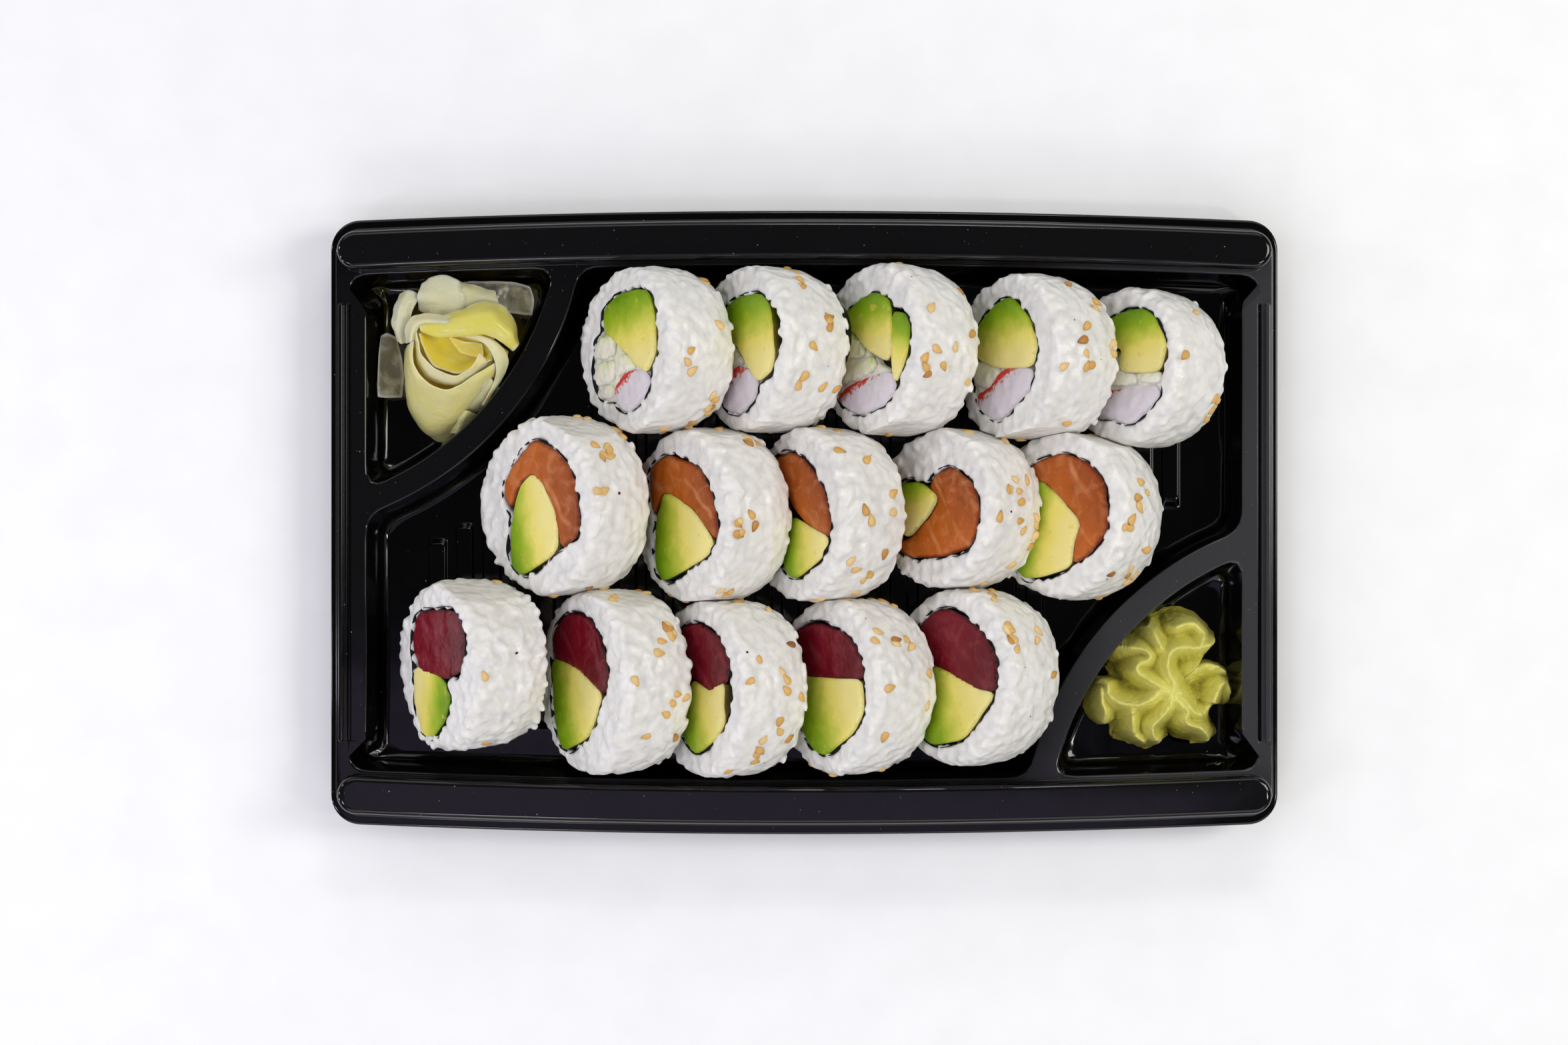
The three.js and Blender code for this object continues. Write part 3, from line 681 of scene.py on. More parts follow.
def make_tray(material):
    sheet = Sheet()
    edge_path = rounded_path(
        [
            (0, SKIRT_BOTTOM - 1), (0, FLANGE_TOP), (RIM_INSET_END, FLANGE_TOP),
            (RIM_INSET_END + 0.1, RIM_TOP), (RIM_INSET_END + 3, RIM_TOP),
        ],
        EDGE_FILLETS,
    )

    def edge_outline(inset):
        on_rim = max(inset - RIM_INSET_END, 0)
        at_side = min(inset / RIM_INSET_END, 1) * RIM_INSET_SIDE + on_rim
        return bowed_outline(TRAY_HALF_LENGTH - inset, TRAY_HALF_WIDTH - at_side, CORNER_RADIUS - inset)

    _, rim = sheet.band(edge_outline, [(0, SKIRT_BOTTOM), *edge_path])
    sheet.fill(rim, *add_wells(sheet), *add_raised(sheet))
    tray = new_object("tray_sheet", sheet.points, sheet.faces)
    shape = bmesh.new()
    shape.from_mesh(tray.data)
    bmesh.ops.recalc_face_normals(shape, faces=shape.faces)
    if sum(face.normal.z * face.calc_area() for face in shape.faces) < 0:
        bmesh.ops.reverse_faces(shape, faces=shape.faces)
    shape.to_mesh(tray.data)
    shape.free()
    modify(tray, "SOLIDIFY", thickness=SHEET * MM, offset=-1)
    modify(tray, "WEIGHTED_NORMAL", weight=100)
    return finish_piece(tray, material, ["tray"])


# ---- The rolls ----

GAP = 0.3
REST_HEIGHT = 1.9  # of the rolls' undersides in the solids
RICE_FLOOR = 1.65  # how low the rice may settle onto the ribs
ROLL_THICKNESS = 21
ROLL_HALF = ROLL_THICKNESS / 2
ROLL_SETTLING = 0.9
GRAIN_BUMP = 0.55
NEIGHBOUR_REACH = 50
ROLL_LOBES = [(2, 0.014, 1), (3, 0.012, -1)]  # waves round the side, their depth, and the way they start
# Depth below the cut face, and how far the side lies inside the roll's full size there.
SIDE_STATIONS = [
    (0.2, 1.8), (1.9, 0), (0.36 * ROLL_THICKNESS, -0.4), (0.68 * ROLL_THICKNESS, 0.2),
    (ROLL_THICKNESS - 1.8, 2.6), (ROLL_THICKNESS, 7),
]

BACK_ROUNDING = 0.7  # how much of its solid's rounding a roll's back edge keeps

CUT_NORMAL = np.array([0, 0, 1.0])
CUT_RELIEF = 0.15  # how far grains stand out of the cut before the knife flattens them
CUT_FLATTENING = 0.75  # how much of what stands out further it takes off
PRESSING = 0.93  # how much a neighbour or the floor takes off

GRAIN_SIZE = (3.1, 1.3, 1.15)  # half lengths of a cooked rice grain
GRAIN_FULLNESS = 0.75  # 1 is an ellipsoid, less is blunter at the ends
CORE_DEPTH = 0.6  # how far the smooth core lies under the grains' tops
# Where the core starts: how far out from the seaweed, and how far below the cut.
CORE_WALL = [(-0.2, 1.2), (0, 0.4), (1, 0.35)]
CORE_STATIONS = (0.5, 2, 6, 11, 16, 19.2, ROLL_THICKNESS - 0.5)
SIDE_GRAINS = 280
SIDE_ROWS = 7
SIDE_SINK = 0.05  # how far the side's mean surface lies inside the roll's full size
GRAIN_SLANT = 0.06  # how much grains on the side tip in and out of it
SLOPE_REACH = 0.8  # how far either way the side's slope is taken
SIDE_RELIEF = 0.6  # how much of the grains' relief is left where a mat has pressed them
RIM_WIDTH = 3.5  # how far in from the cut face the side keeps the relief of its grains
BACK_CALMING = 0.12  # how much more they are flattened at the other edge
RIM_GRAINS = 50
RIM_GRAIN_DEPTH = 1.4
RIM_GRAIN_SINK = 1.45
RIM_GRAIN_SHAPE = (0.5, 1.12, 1.2)  # against the size of a whole grain, as for the next two
FACE_GRAIN_SHAPE = (0.85, 1, 1)
HOLE_GRAIN_SHAPE = (0.5, 1, 1)
FACE_GRAIN_SINK = 0.95  # how far a grain's middle lies below the cut
HOLE_GRAIN_SINK = 0.85
HOLE_CLEARANCE = 1.6  # how far grains in the cut keep from the seaweed
RIM_CLEARANCE = 0.9
FACE_GRAIN_SPACING = 2.6
HOLE_GRAIN_SPACING = 2.1
VOXEL = 0.5
RICE_TRIANGLES = 38000  # kept for each roll
OUTLINE_WINDOW = math.radians(7)  # how wide a look an outline drawn round others takes at them
OUTLINE_CLEARANCE = 0.05
NORI_THICKNESS = 0.2
NORI_DEPTH = 2.6  # how deep a gap beside a filling is, down to the dark disc that paints the shade in it

# Each roll: its middle in plan, how far its cut face leans back from level, how it is turned about the
# vertical, and its size across and up the face. Each filling is an outline on the cut face, as points up
# the face and across it, with the direction in degrees of its skin; a gap is left open. A roll may sag at its
# low end, and its side may have more relief than others.
ROLLS = {
    "crab_roll": [
        dict(x=-36.4, y=43.1, tilt=54, turn=2, across=41.6, up=42.5, fillings=[
            ("avocado", 100, [(-8.6, 10.8), (-2.5, 13.4), (6.5, 14.3), (11.7, 13.4), (14, 8.4), (14.3, -1.2),
                (10.1, -6), (5.3, -4), (1.1, -0.3), (-8.5, 5.3)]),
            ("surimi", 120, [(-4.9, -9.1), (-0.1, -5.6), (7.9, -5.4), (10.4, -7.7), (9.3, -11.4),
                (0.1, -15.8), (-5, -11.6)]),
            ("cucumber", 90, [(-14, -1.6), (-13, 3), (-5.4, 4.4), (-4.4, -1)]),
            ("cucumber", 90, [(-14, -8), (-14, -3), (-4.4, -2), (-5.6, -7.4)]),
            ("cucumber", 60, [(-3.6, -6.2), (-3.2, -1.4), (1, -1.2), (5, -4.8), (0, -5)]),
            ("cucumber", 60, [(-12, -11), (-11.4, -8.8), (-6, -8.2), (-6, -11.2)]),
        ]),
        dict(x=-7.5, y=43.1, tilt=56, turn=0, across=41.6, up=41, fillings=[
            ("avocado", 100, [(-12, 6), (-7, 10), (-1.5, 12.6), (9.5, 13), (13.6, 9.6), (14.4, 3.4),
                (15.4, -2.4), (14.4, -5.6), (8.6, -8.2), (4.3, -5.1), (-1.8, 2), (-11, 3)]),
            ("surimi", 120, [(-9, -8.6), (-1.6, -4.4), (3.6, -5.4), (8, -8.8), (6, -12.9), (-0.6, -16),
                (-8, -14)]),
            ("cucumber", 90, [(-13, -6), (-12.6, 1.6), (-3, 1.2), (1.6, -3.8), (-1, -3.6), (-8.4, -7)]),
            ("gap", 0, [(12.6, 10), (16.6, 8.4), (17.4, 3), (16.2, -1.6), (14.4, 3.4)]),
        ]),
        dict(x=24.2, y=42.9, tilt=54, turn=-3, across=43.2, up=42, fillings=[
            ("avocado", 100, [(-13, 6), (-4.6, 12), (2.2, 13.5), (8, 11.3), (9.6, -3.9), (-1.7, 0.6),
                (-5.9, 4.6)]),
            ("avocado", 70, [(8.7, 8.6), (13.8, 8), (16, 5.2), (15.6, -1.1), (12.2, -8.6), (10.2, -6.2)]),
            ("cucumber", 60, [(-13, 3.4), (-7.4, 3.6), (-2, 0.2), (-1.7, -2.2), (-12, -2.4)]),
            ("cucumber", 60, [(-12, -6.4), (-3.1, -3.2), (1.7, -2.2), (3.4, -4.8), (-1.6, -7.2), (-11, -9)]),
            ("surimi", 115, [(-12, -12), (-7.1, -9.4), (2.1, -7.2), (9.3, -6.2), (11.6, -10), (8.4, -13.7),
                (-2.1, -16.4), (-8, -14.6)]),
        ]),
        dict(x=58.5, y=40.8, tilt=57, turn=-2, across=42.1, up=43, fillings=[
            ("avocado", 100, [(-11.6, 8), (-4.5, 13.1), (1.6, 14.7), (8.7, 9.4), (12.6, 2.6), (11.4, -2.6),
                (-3, -2.4), (-12, 0.4)]),
            ("cucumber", 90, [(-13, -6), (-12.6, -0.6), (-3.6, -2.6), (-1.6, -3.8), (-6.6, -7.6)]),
            ("surimi", 120, [(-11, -9.4), (-7, -8), (-0.5, -3.2), (5.6, -3), (11, -3.6), (10.6, -7.9),
                (-2.3, -16), (-9.5, -13)]),
        ]),
        dict(x=86.3, y=38.5, tilt=50, turn=-4, across=39.7, up=39, fillings=[
            ("avocado", 100, [(-10, 7), (-3.7, 11.8), (1.4, 13.4), (6.8, 13.8), (10.2, 12), (14, 7), (15, 5),
                (13.6, -1), (7.3, -1.5), (0.4, -1.2), (0.6, 5), (-9, 4)]),
            ("cucumber", 90, [(-10, 2.8), (-1.6, 3.4), (-0.6, -1.4), (5.9, -2.6), (6, -4.6), (-10, -5)]),
            ("cucumber", 90, [(7.4, -2), (13.6, -1.6), (13.6, -4.1), (7.6, -3.9)]),
            ("surimi", 115, [(-9, -7), (-1, -6.6), (6.9, -5), (13, -5.2), (13.8, -7.8), (5.3, -14.6),
                (-2, -12.8), (-9, -11.6)]),
        ]),
    ],
    "salmon_roll": [
        dict(x=-58.8, y=4.2, tilt=46, turn=3, across=45.2, up=43, sag=2.4, fillings=[
            ("salmon", 0, [(-13.6, 5), (-8.5, 11), (-0.2, 16.8), (7.5, 13.8), (13.4, 8.9), (15.6, 1.6),
                (15.4, -7), (8, -10.6), (7.4, -2.8), (2.9, 5.4), (-1.5, 8.7), (-7, 6), (-11, 0)]),
            ("avocado", 190, [(-1.3, 8.2), (2.5, 5.2), (7.1, -2.8), (7, -11), (-7.7, -16.7), (-11.4, -13.9),
                (-10.5, -4.1), (-6.6, 5.1)]),
        ]),
        dict(x=-22.5, y=1.9, tilt=52, turn=2, across=44, up=42, fillings=[
            ("salmon", 20, [(-13, 12), (-5.3, 15.3), (7.5, 11.9), (13.4, 4.8), (15, -3.6), (13.6, -6),
                (5.6, 1.4), (-3.4, 5.5), (-7.4, 6), (-12, 0)]),
            ("avocado", 190, [(-7.2, 5.5), (-3.4, 5), (5.2, 1), (13.2, -6.6), (10.5, -9.9), (-8.9, -16.3),
                (-11.6, -12), (-10.6, -2)]),
        ]),
        dict(x=6.2, y=1.9, tilt=55, turn=0, across=44, up=42, fillings=[
            ("salmon", 40, [(-12.6, 13), (-1.8, 15.5), (5.1, 12.4), (11.8, 6.2), (14.8, -2.6), (14.4, -5.2),
                (6.1, -2.9), (-0.8, 1.6), (-4, 6), (-12, 4)]),
            ("avocado", 185, [(-1.1, -0.6), (5.9, -3.2), (14.2, -5.8), (12, -9.9), (0.6, -15.7),
                (-4.4, -14.2), (-6, -5.3)]),
            ("salmon", 40, [(-12, 3), (-4.6, 4.6), (-1.6, 0.4), (-6.4, -4), (-5.4, -12), (-11, -9)]),
        ]),
        dict(x=39.8, y=3.3, tilt=48, turn=-5, across=40.4, up=40, fillings=[
            ("avocado", 120, [(-13.4, 4.6), (-5.5, 5.6), (1.2, 2.3), (-1.2, -1.5), (-7.4, -8.1), (-13, -6)]),
            ("salmon", 60, [(-0.8, 7.6), (5.2, 10), (12.4, 6.1), (15.8, 0.2), (14.4, -8.6), (4.4, -12),
                (-7.8, -13), (-12, -10), (-7, -8.6), (-0.5, -2.2), (2, 2.1), (-2, 4.6)]),
        ]),
        dict(x=69.3, y=1.9, tilt=42, turn=-4, across=42.6, up=41, fillings=[
            ("salmon", 30, [(-12, 9), (-5.5, 12.8), (0.6, 14.7), (8.2, 12.8), (13.4, 8.5), (15.6, 0.6),
                (15.4, -3.7), (10.4, -10), (6.3, -12), (6.3, -6.6), (8.1, -2), (0.1, 4.8), (-5, 8),
                (-12, 6)]),
            ("avocado", 170, [(-7.6, 6.9), (-5.3, 7.6), (-0.2, 4.3), (7.7, -2.1), (5.9, -6.6), (5.8, -12.9),
                (-3.5, -16), (-9.2, -16.4), (-12.4, -12), (-11, -3)]),
        ]),
    ],
    "tuna_roll": [
        dict(x=-82.6, y=-35.2, tilt=56, turn=4, across=42.4, up=41.5, sag=1.2, relief=1.1, fillings=[
            ("tuna", 0, [(-9.7, 13.2), (1.7, 13.9), (13, 13), (15, 7.8), (12.5, -0.8), (3.2, -3.1),
                (-10.8, -0.8), (-13.1, 5.6)]),
            ("avocado", -20, [(-12.8, 0.2), (3, -3.4), (5.6, -7.9), (2, -13), (-5, -17.4), (-11, -17),
                (-14, -9)]),
        ]),
        dict(x=-46.8, y=-39.6, tilt=56, turn=1, across=46.4, up=43, fillings=[
            ("tuna", 0, [(-13.8, 12.4), (-7.1, 17), (3.2, 16.3), (9.4, 11.4), (12.3, 5.3), (12.6, -1),
                (9.6, -2.2), (-2, 3.3), (-14.6, 6)]),
            ("avocado", 200, [(-14.4, 5.6), (-2, 3.1), (6.2, -0.9), (9.8, -2.7), (6.4, -9), (2.6, -13.4),
                (-10.1, -17.4), (-13.7, -10), (-14.2, -2.8)]),
        ]),
        dict(x=-18.1, y=-41.3, tilt=56, turn=0, across=44.6, up=42.5, fillings=[
            ("tuna", 0, [(-12, 10), (-6, 15.6), (2.3, 15.8), (10.6, 12.4), (14.6, 7.1), (13.3, 2.6),
                (5.8, -0.5), (-1.3, 2.8), (-12, 4)]),
            ("avocado", 200, [(-2, 2.1), (5.8, -0.9), (9.2, 1.2), (12.4, 1.5), (11.8, -3.1), (12.8, -7.6),
                (8.8, -11.6), (-0.7, -16.4), (-6.9, -11.8), (-4.4, -4)]),
            ("tuna", 0, [(-12.5, 3), (-2.6, 1.8), (-5, -4), (-7.6, -12), (-12, -8)]),
            ("gap", 0, [(13.3, 2.6), (15.2, -1), (14.4, -5.4), (12.8, -7.6), (11.8, -3.1), (12.4, 1.5)]),
        ]),
        dict(x=13.2, y=-40.8, tilt=52, turn=-1, across=44, up=42, fillings=[
            ("tuna", 0, [(-13, 13), (-3.8, 15.6), (8.7, 12.9), (13.8, 7.2), (14.6, 2.7), (4, 2.1), (-6, 2.2),
                (-14, 4)]),
            ("avocado", 210, [(-13, 2), (-5.7, 1.8), (4, 1.7), (14.4, 2.2), (15.2, -5.6), (11.4, -10.5),
                (0.8, -17), (-4.4, -15.8), (-10.8, -8)]),
        ]),
        dict(x=43.4, y=-38.6, tilt=48, turn=-3, across=44.2, up=42.5, fillings=[
            ("tuna", 0, [(-12, 11), (-6, 15.7), (-1, 16.4), (5.4, 14.3), (11, 11), (16, 5.4), (16.4, -2.4),
                (8, -2.2), (0, 1), (-5.3, 2.6), (-13, 4)]),
            ("avocado", 200, [(-12.4, 3.4), (-3.8, 1.7), (2.3, 0), (10.2, -2.7), (16, -3.2), (12.4, -7.3),
                (6.6, -14.8), (-4.2, -17.2), (-8.2, -15.5), (-10.3, -8)]),
        ]),
    ],
}


class Roll:
    """One roll: its sizes, its place, and its own frame with +Z out of the cut face and +X up the face."""

    def __init__(self, kind, row, place, x, y, tilt, turn, across, up, fillings, sag=0, relief=SIDE_RELIEF):
        self.name = f"{kind}_{place + 1}"
        self.row, self.place = row, place
        self.half_up, self.half_across = up / 2, across / 2
        self.fillings = fillings
        self.relief = relief
        seed = row * 5 + place + 1
        first_draw = (seed * 1664525 + 1013904223) % 2 ** 32 / 2 ** 32
        self.phase = first_draw * 2 * math.pi
        self.random = np.random.default_rng(seed)
        turned = Matrix.Rotation(math.radians(turn), 3, "Z") @ Matrix.Rotation(-math.radians(tilt), 3, "Y")
        self.axes = np.array(turned).T
        self.middle = np.zeros(3)
        self.sag = 0
        depth, inset = np.array(SIDE_STATIONS).T[:, :, None]
        rings = self.to_tray(self.side(circle_angles(72), depth, -inset))
        self.middle = np.array([x, y, REST_HEIGHT - ROLL_SETTLING - rings[..., 2].min()])
        self.sag = sag

    @property
    def axis(self):
        return self.axes[2]

    def side(self, angle, depth, outward):
        """Points on the roll's side, at angles from straight up the face and at depths below it."""
        waves = sum(share * np.sin(count * angle + way * self.phase) for count, share, way in ROLL_LOBES)
        scale = (1 + waves) * (1 + outward / self.half_across)
        x = self.half_up * scale * np.cos(angle) - self.sag * np.maximum(-np.cos(angle), 0) ** 2
        y = self.half_across * scale * np.sin(angle)
        return np.stack(np.broadcast_arrays(x, y, ROLL_HALF - depth), axis=-1)

    def to_tray(self, points):
        return points @ self.axes + self.middle

    def to_roll(self, points):
        return (points - self.middle) @ self.axes.T


def side_inset(depth):
    depths, insets = np.array(SIDE_STATIONS).T
    return np.interp(depth, depths, np.where(depths > ROLL_THICKNESS / 2, insets * BACK_ROUNDING, insets))


def plane_between(roll, other):
    """The plane midway between two rolls of different rows: a point on it, and the way to the first."""
    axis = roll.axis + other.axis
    axis /= np.linalg.norm(axis)
    apart = roll.middle - other.middle
    apart -= apart.dot(axis) * axis
    share = other.half_across / (roll.half_across + other.half_across)
    normal = apart / np.linalg.norm(apart)
    return other.middle + apart * share + normal * GAP / 2, normal


def pressing_planes(roll, rolls):
    planes = [(np.array([0, 0, RICE_FLOOR]), np.array([0, 0, 1]))]
    for other in rolls:
        if other.row != roll.row and np.linalg.norm(roll.middle - other.middle) < NEIGHBOUR_REACH:
            planes.append(plane_between(roll, other))
        if other.row == roll.row and other.place == roll.place + 1:
            height = ROLL_HALF + GRAIN_BUMP / 2 + GAP
            planes.append((other.middle + other.axis * height, other.axis))
    return planes


def press(points, planes):
    """Pushes points back onto the planes that the rice is pressed against, leaving a little relief."""
    for point, normal in planes:
        beyond = np.minimum((points - point) @ normal, 0)
        points = points - (PRESSING * beyond)[:, None] * normal
    return points


def polar(outline, centre, angles):
    """Distance from a centre to a closed outline, in each direction."""
    dense = np.concatenate([
        start + (end - start) * np.linspace(0, 1, 12, endpoint=False)[:, None]
        for start, end in zip(outline, np.roll(outline, -1, axis=0))
    ])
    away = dense - centre
    bearing = np.arctan2(away[:, 1], away[:, 0]) % (2 * math.pi)
    order = np.argsort(bearing)
    return np.interp(angles, bearing[order], np.hypot(*away.T)[order], period=2 * math.pi)


def smooth_round(values, passes):
    for _ in range(passes):
        values = (np.roll(values, 1, axis=0) + 2 * values + np.roll(values, -1, axis=0)) / 4
    return values


def outline_round(outlines, count):
    """One closed outline drawn tight round some others, as seen from their middle."""
    points = np.concatenate([widened(round_outline(outline, 0.4), FILLING_SWELL) for outline in outlines])
    centre = (points.min(axis=0) + points.max(axis=0)) / 2
    angles = circle_angles(count)
    away = points - centre
    bearing = np.arctan2(away[:, 1], away[:, 0])[:, None] - angles
    near = np.cos(bearing) > math.cos(OUTLINE_WINDOW)
    reach = np.where(near, np.hypot(*away.T)[:, None], 0).max(axis=0)
    reach = smooth_round(reach, 4) + OUTLINE_CLEARANCE
    return centre + reach[:, None] * on_circle(angles)[:, :2]


def ball(rings=5, sides=8, fullness=1.0):
    """A coarse ball's points and faces, to be stretched into grains and seeds; less is blunter."""
    points = [(0, 0, -1)]
    for ring in range(1, rings):
        angle = math.pi * ring / rings
        radius = math.sin(angle) ** fullness
        height = -math.copysign(abs(math.cos(angle)) ** fullness, math.cos(angle))
        for side in circle_angles(sides):
            points.append((radius * math.cos(side), radius * math.sin(side), height))
    points.append((0, 0, 1))
    faces = []
    last = len(points) - 1
    for side in range(sides):
        on = (side + 1) % sides
        faces.append((0, 1 + on, 1 + side))
        for ring in range(rings - 2):
            low = 1 + ring * sides
            faces.append((low + side, low + on, low + sides + on, low + sides + side))
        faces.append((last - sides + side, last - sides + on, last))
    return np.array(points), faces


def repeated_faces(faces, count, copies):
    """The faces of a shape of so many points, for each of its copies."""
    return [[corner + copy * count for corner in face] for copy in range(copies) for face in faces]


def grains(middles, along, outward, sizes):
    """Many ellipsoids: their middles, long axes, flat axes and half sizes."""
    points, faces = ball(rings=6, fullness=GRAIN_FULLNESS)
    points = points[:, [2, 0, 1]]
    along = unit(along)
    outward = unit(outward - np.sum(outward * along, axis=1)[:, None] * along)
    axes = np.stack([along, np.cross(outward, along), outward], axis=1) * sizes[:, :, None]
    placed = middles[:, None, :] + np.einsum("pk,nkx->npx", points, axes)
    return placed.reshape(-1, 3), repeated_faces(faces, len(points), len(middles))


def grain_sizes(random, count):
    return np.array(GRAIN_SIZE) * random.uniform(0.8, 1.12, (count, 3))


def core_rings(roll, hole, angles):
    """The smooth body of rice under the grains, from the hole's wall over the side and back again."""
    away = away_from_middle(hole)
    wall = [(hole + away * (outset + NORI_THICKNESS), ROLL_HALF - down) for outset, down in CORE_WALL]
    side = [roll.side(angles, depth, -side_inset(depth) - CORE_DEPTH) for depth in CORE_STATIONS]
    front = [raised(ring, height) for ring, height in wall]
    back = [raised(ring, -height) for ring, height in reversed(wall)]
    return [*front, *side, *back]


def closed_bands(rings):
    """The body that rings of equal length make when the last is joined to the first."""
    return np.concatenate(rings), ring_faces(len(rings), len(rings[0]), closed=True)


def side_grains(roll):
    """Grains lying round the side, each in its own share of it."""
    random = roll.random
    columns = SIDE_GRAINS // SIDE_ROWS
    column, row = np.meshgrid(np.arange(columns), np.arange(SIDE_ROWS))
    shift = 0.5 * (row % 2)
    angle = (column + shift + random.uniform(-0.42, 0.42, row.shape)).ravel() / columns * 2 * math.pi
    down = row + 0.5 + random.uniform(-0.4, 0.4, row.shape)
    depth = (down / SIDE_ROWS * (ROLL_THICKNESS - 3)).ravel() + 1
    sunk = random.uniform(0.72, 1.0, len(angle))
    inset = side_inset(depth)
    middles = roll.side(angle, depth, -inset - sunk)
    outward = on_circle(angle)
    round_side = np.cross((0, 0, 1), outward)
    heading = random.uniform(0, math.pi, (len(angle), 1))
    slope = (side_inset(depth + SLOPE_REACH) - side_inset(depth - SLOPE_REACH)) / (2 * SLOPE_REACH)
    downhill = unit(-outward * slope[:, None] - (0, 0, 1))
    along = round_side * np.cos(heading) + downhill * np.sin(heading)
    along += outward * random.normal(0, GRAIN_SLANT, (len(angle), 1))
    return grains(middles, along, np.cross(round_side, downhill), grain_sizes(random, len(angle)))


def rim_grains(roll):
    """Rounded grain ends that stand out round the edge of the cut face."""
    random = roll.random
    angle = (np.arange(RIM_GRAINS) + random.uniform(-0.4, 0.4, RIM_GRAINS)) / RIM_GRAINS * 2 * math.pi
    depths = RIM_GRAIN_DEPTH + random.uniform(-0.5, 0.8, RIM_GRAINS)
    outset = random.uniform(-0.5, 0.4, RIM_GRAINS) - RIM_GRAIN_SINK
    middles = roll.side(angle, depths, outset - side_inset(depths))
    along = random.normal(0, 1, (RIM_GRAINS, 3))
    sizes = grain_sizes(random, RIM_GRAINS) * RIM_GRAIN_SHAPE
    return grains(middles, along, on_circle(angle)[:, [1, 2, 0]] + (0, 0, 0.6), sizes)


def face_grains(roll, hole, top):
    """Grains in the band of rice between the seaweed and the rim, lying in the cut."""
    random = roll.random
    half_size = max(roll.half_up, roll.half_across)
    steps = np.arange(-half_size, half_size, FACE_GRAIN_SPACING)
    x, y = (grid.ravel() for grid in np.meshgrid(steps, steps))
    x = x + random.uniform(-1, 1, len(x))
    y = y + random.uniform(-1, 1, len(y))
    hole_middle = hole.mean(axis=0)
    bearing = np.arctan2(y - hole_middle[1], x - hole_middle[0])
    from_hole = np.hypot(x - hole_middle[0], y - hole_middle[1]) - polar(hole, hole_middle, bearing)
    angle = np.arctan2(y / roll.half_across, x / roll.half_up)
    rim = roll.side(angle, 1.0, -side_inset(1.0))
    to_rim = np.hypot(rim[:, 0], rim[:, 1]) - np.hypot(x, y)
    kept = (from_hole > HOLE_CLEARANCE) & (to_rim > RIM_CLEARANCE)
    count = kept.sum()
    heights = ROLL_HALF - FACE_GRAIN_SINK + random.uniform(-0.25, 0.2, count)
    heading = random.uniform(0, math.pi, count)
    along = on_circle(heading, random.normal(0, 0.25, count))
    middles = np.stack([x[kept], y[kept], heights * top], axis=1)
    return grains(middles, along, CUT_NORMAL, grain_sizes(random, count) * FACE_GRAIN_SHAPE)


def hole_grains(roll, hole, top):
    """Grain ends along the seaweed, which cover its edge here and there."""
    random = roll.random
    count = round(lengths_round(hole)[-1] / HOLE_GRAIN_SPACING)
    share = (np.arange(count) + random.uniform(-0.4, 0.4, count)) / count
    at = (share * len(hole)).astype(int) % len(hole)
    middles = hole[at] + away_from_middle(hole)[at] * random.uniform(0.7, 1.5, (count, 1))
    heights = ROLL_HALF - HOLE_GRAIN_SINK + random.uniform(-0.3, 0.3, count)
    along = random.normal(0, 1, (count, 3)) * (1, 1, 0.5)
    sizes = grain_sizes(random, count) * HOLE_GRAIN_SHAPE
    return grains(raised(middles, heights * top), along, CUT_NORMAL, sizes)


def side_calming(roll, points):
    """How far to scale each point towards the roll's axis, to flatten the grains behind the front rim."""
    depth = ROLL_HALF - points[:, 2]
    bearing = np.arctan2(points[:, 1], points[:, 0])
    outline = roll.side(circle_angles(180), 0, 0)[:, :2]
    smooth = polar(outline, np.zeros(2), bearing) * (1 - (side_inset(depth) + SIDE_SINK) / roll.half_across)
    reach = np.hypot(points[:, 0], points[:, 1])
    from_rim = np.clip(depth / RIM_WIDTH, 0, 1)
    at_back = np.clip((depth - ROLL_THICKNESS) / RIM_WIDTH + 1, 0, 1)
    calming = (1 - roll.relief) * from_rim + BACK_CALMING * at_back
    calming *= np.clip(reach - smooth + 1.5, 0, 1)
    return 1 + calming * (smooth / np.maximum(reach, 1) - 1)


def make_rice(roll, rolls, hole, angles, material):
    bodies = [
        closed_bands(core_rings(roll, hole, angles)), side_grains(roll), rim_grains(roll),
        face_grains(roll, hole, 1), face_grains(roll, hole, -1),
        hole_grains(roll, hole, 1), hole_grains(roll, hole, -1),
    ]
    points = np.concatenate([body_points for body_points, _ in bodies])
    faces = []
    start = 0
    for body_points, body_faces in bodies:
        faces += [[corner + start for corner in face] for face in body_faces]
        start += len(body_points)
    rice_piece = new_object(f"{roll.name}_rice", roll.to_tray(points), faces)
    modify(rice_piece, "REMESH", mode="VOXEL", voxel_size=VOXEL * MM)
    modify(rice_piece, "SMOOTH", factor=0.5, iterations=2)
    apply_modifiers(rice_piece)
    local = roll.to_roll(read_points(rice_piece.data))
    above = np.maximum(np.abs(local[:, 2]) - ROLL_HALF - CUT_RELIEF, 0)
    local[:, 2] -= np.sign(local[:, 2]) * CUT_FLATTENING * above
    local[:, :2] *= side_calming(roll, local)[:, None]
    pressed = press(roll.to_tray(local), pressing_planes(roll, rolls))
    write_points(rice_piece.data, pressed)
    modify(rice_piece, "SMOOTH", factor=0.5, iterations=1)
    triangles = 2 * len(rice_piece.data.polygons)
    modify(rice_piece, "DECIMATE", ratio=min(1, RICE_TRIANGLES / triangles))
    apply_modifiers(rice_piece)
    return finish_piece(rice_piece, material, [roll.name])


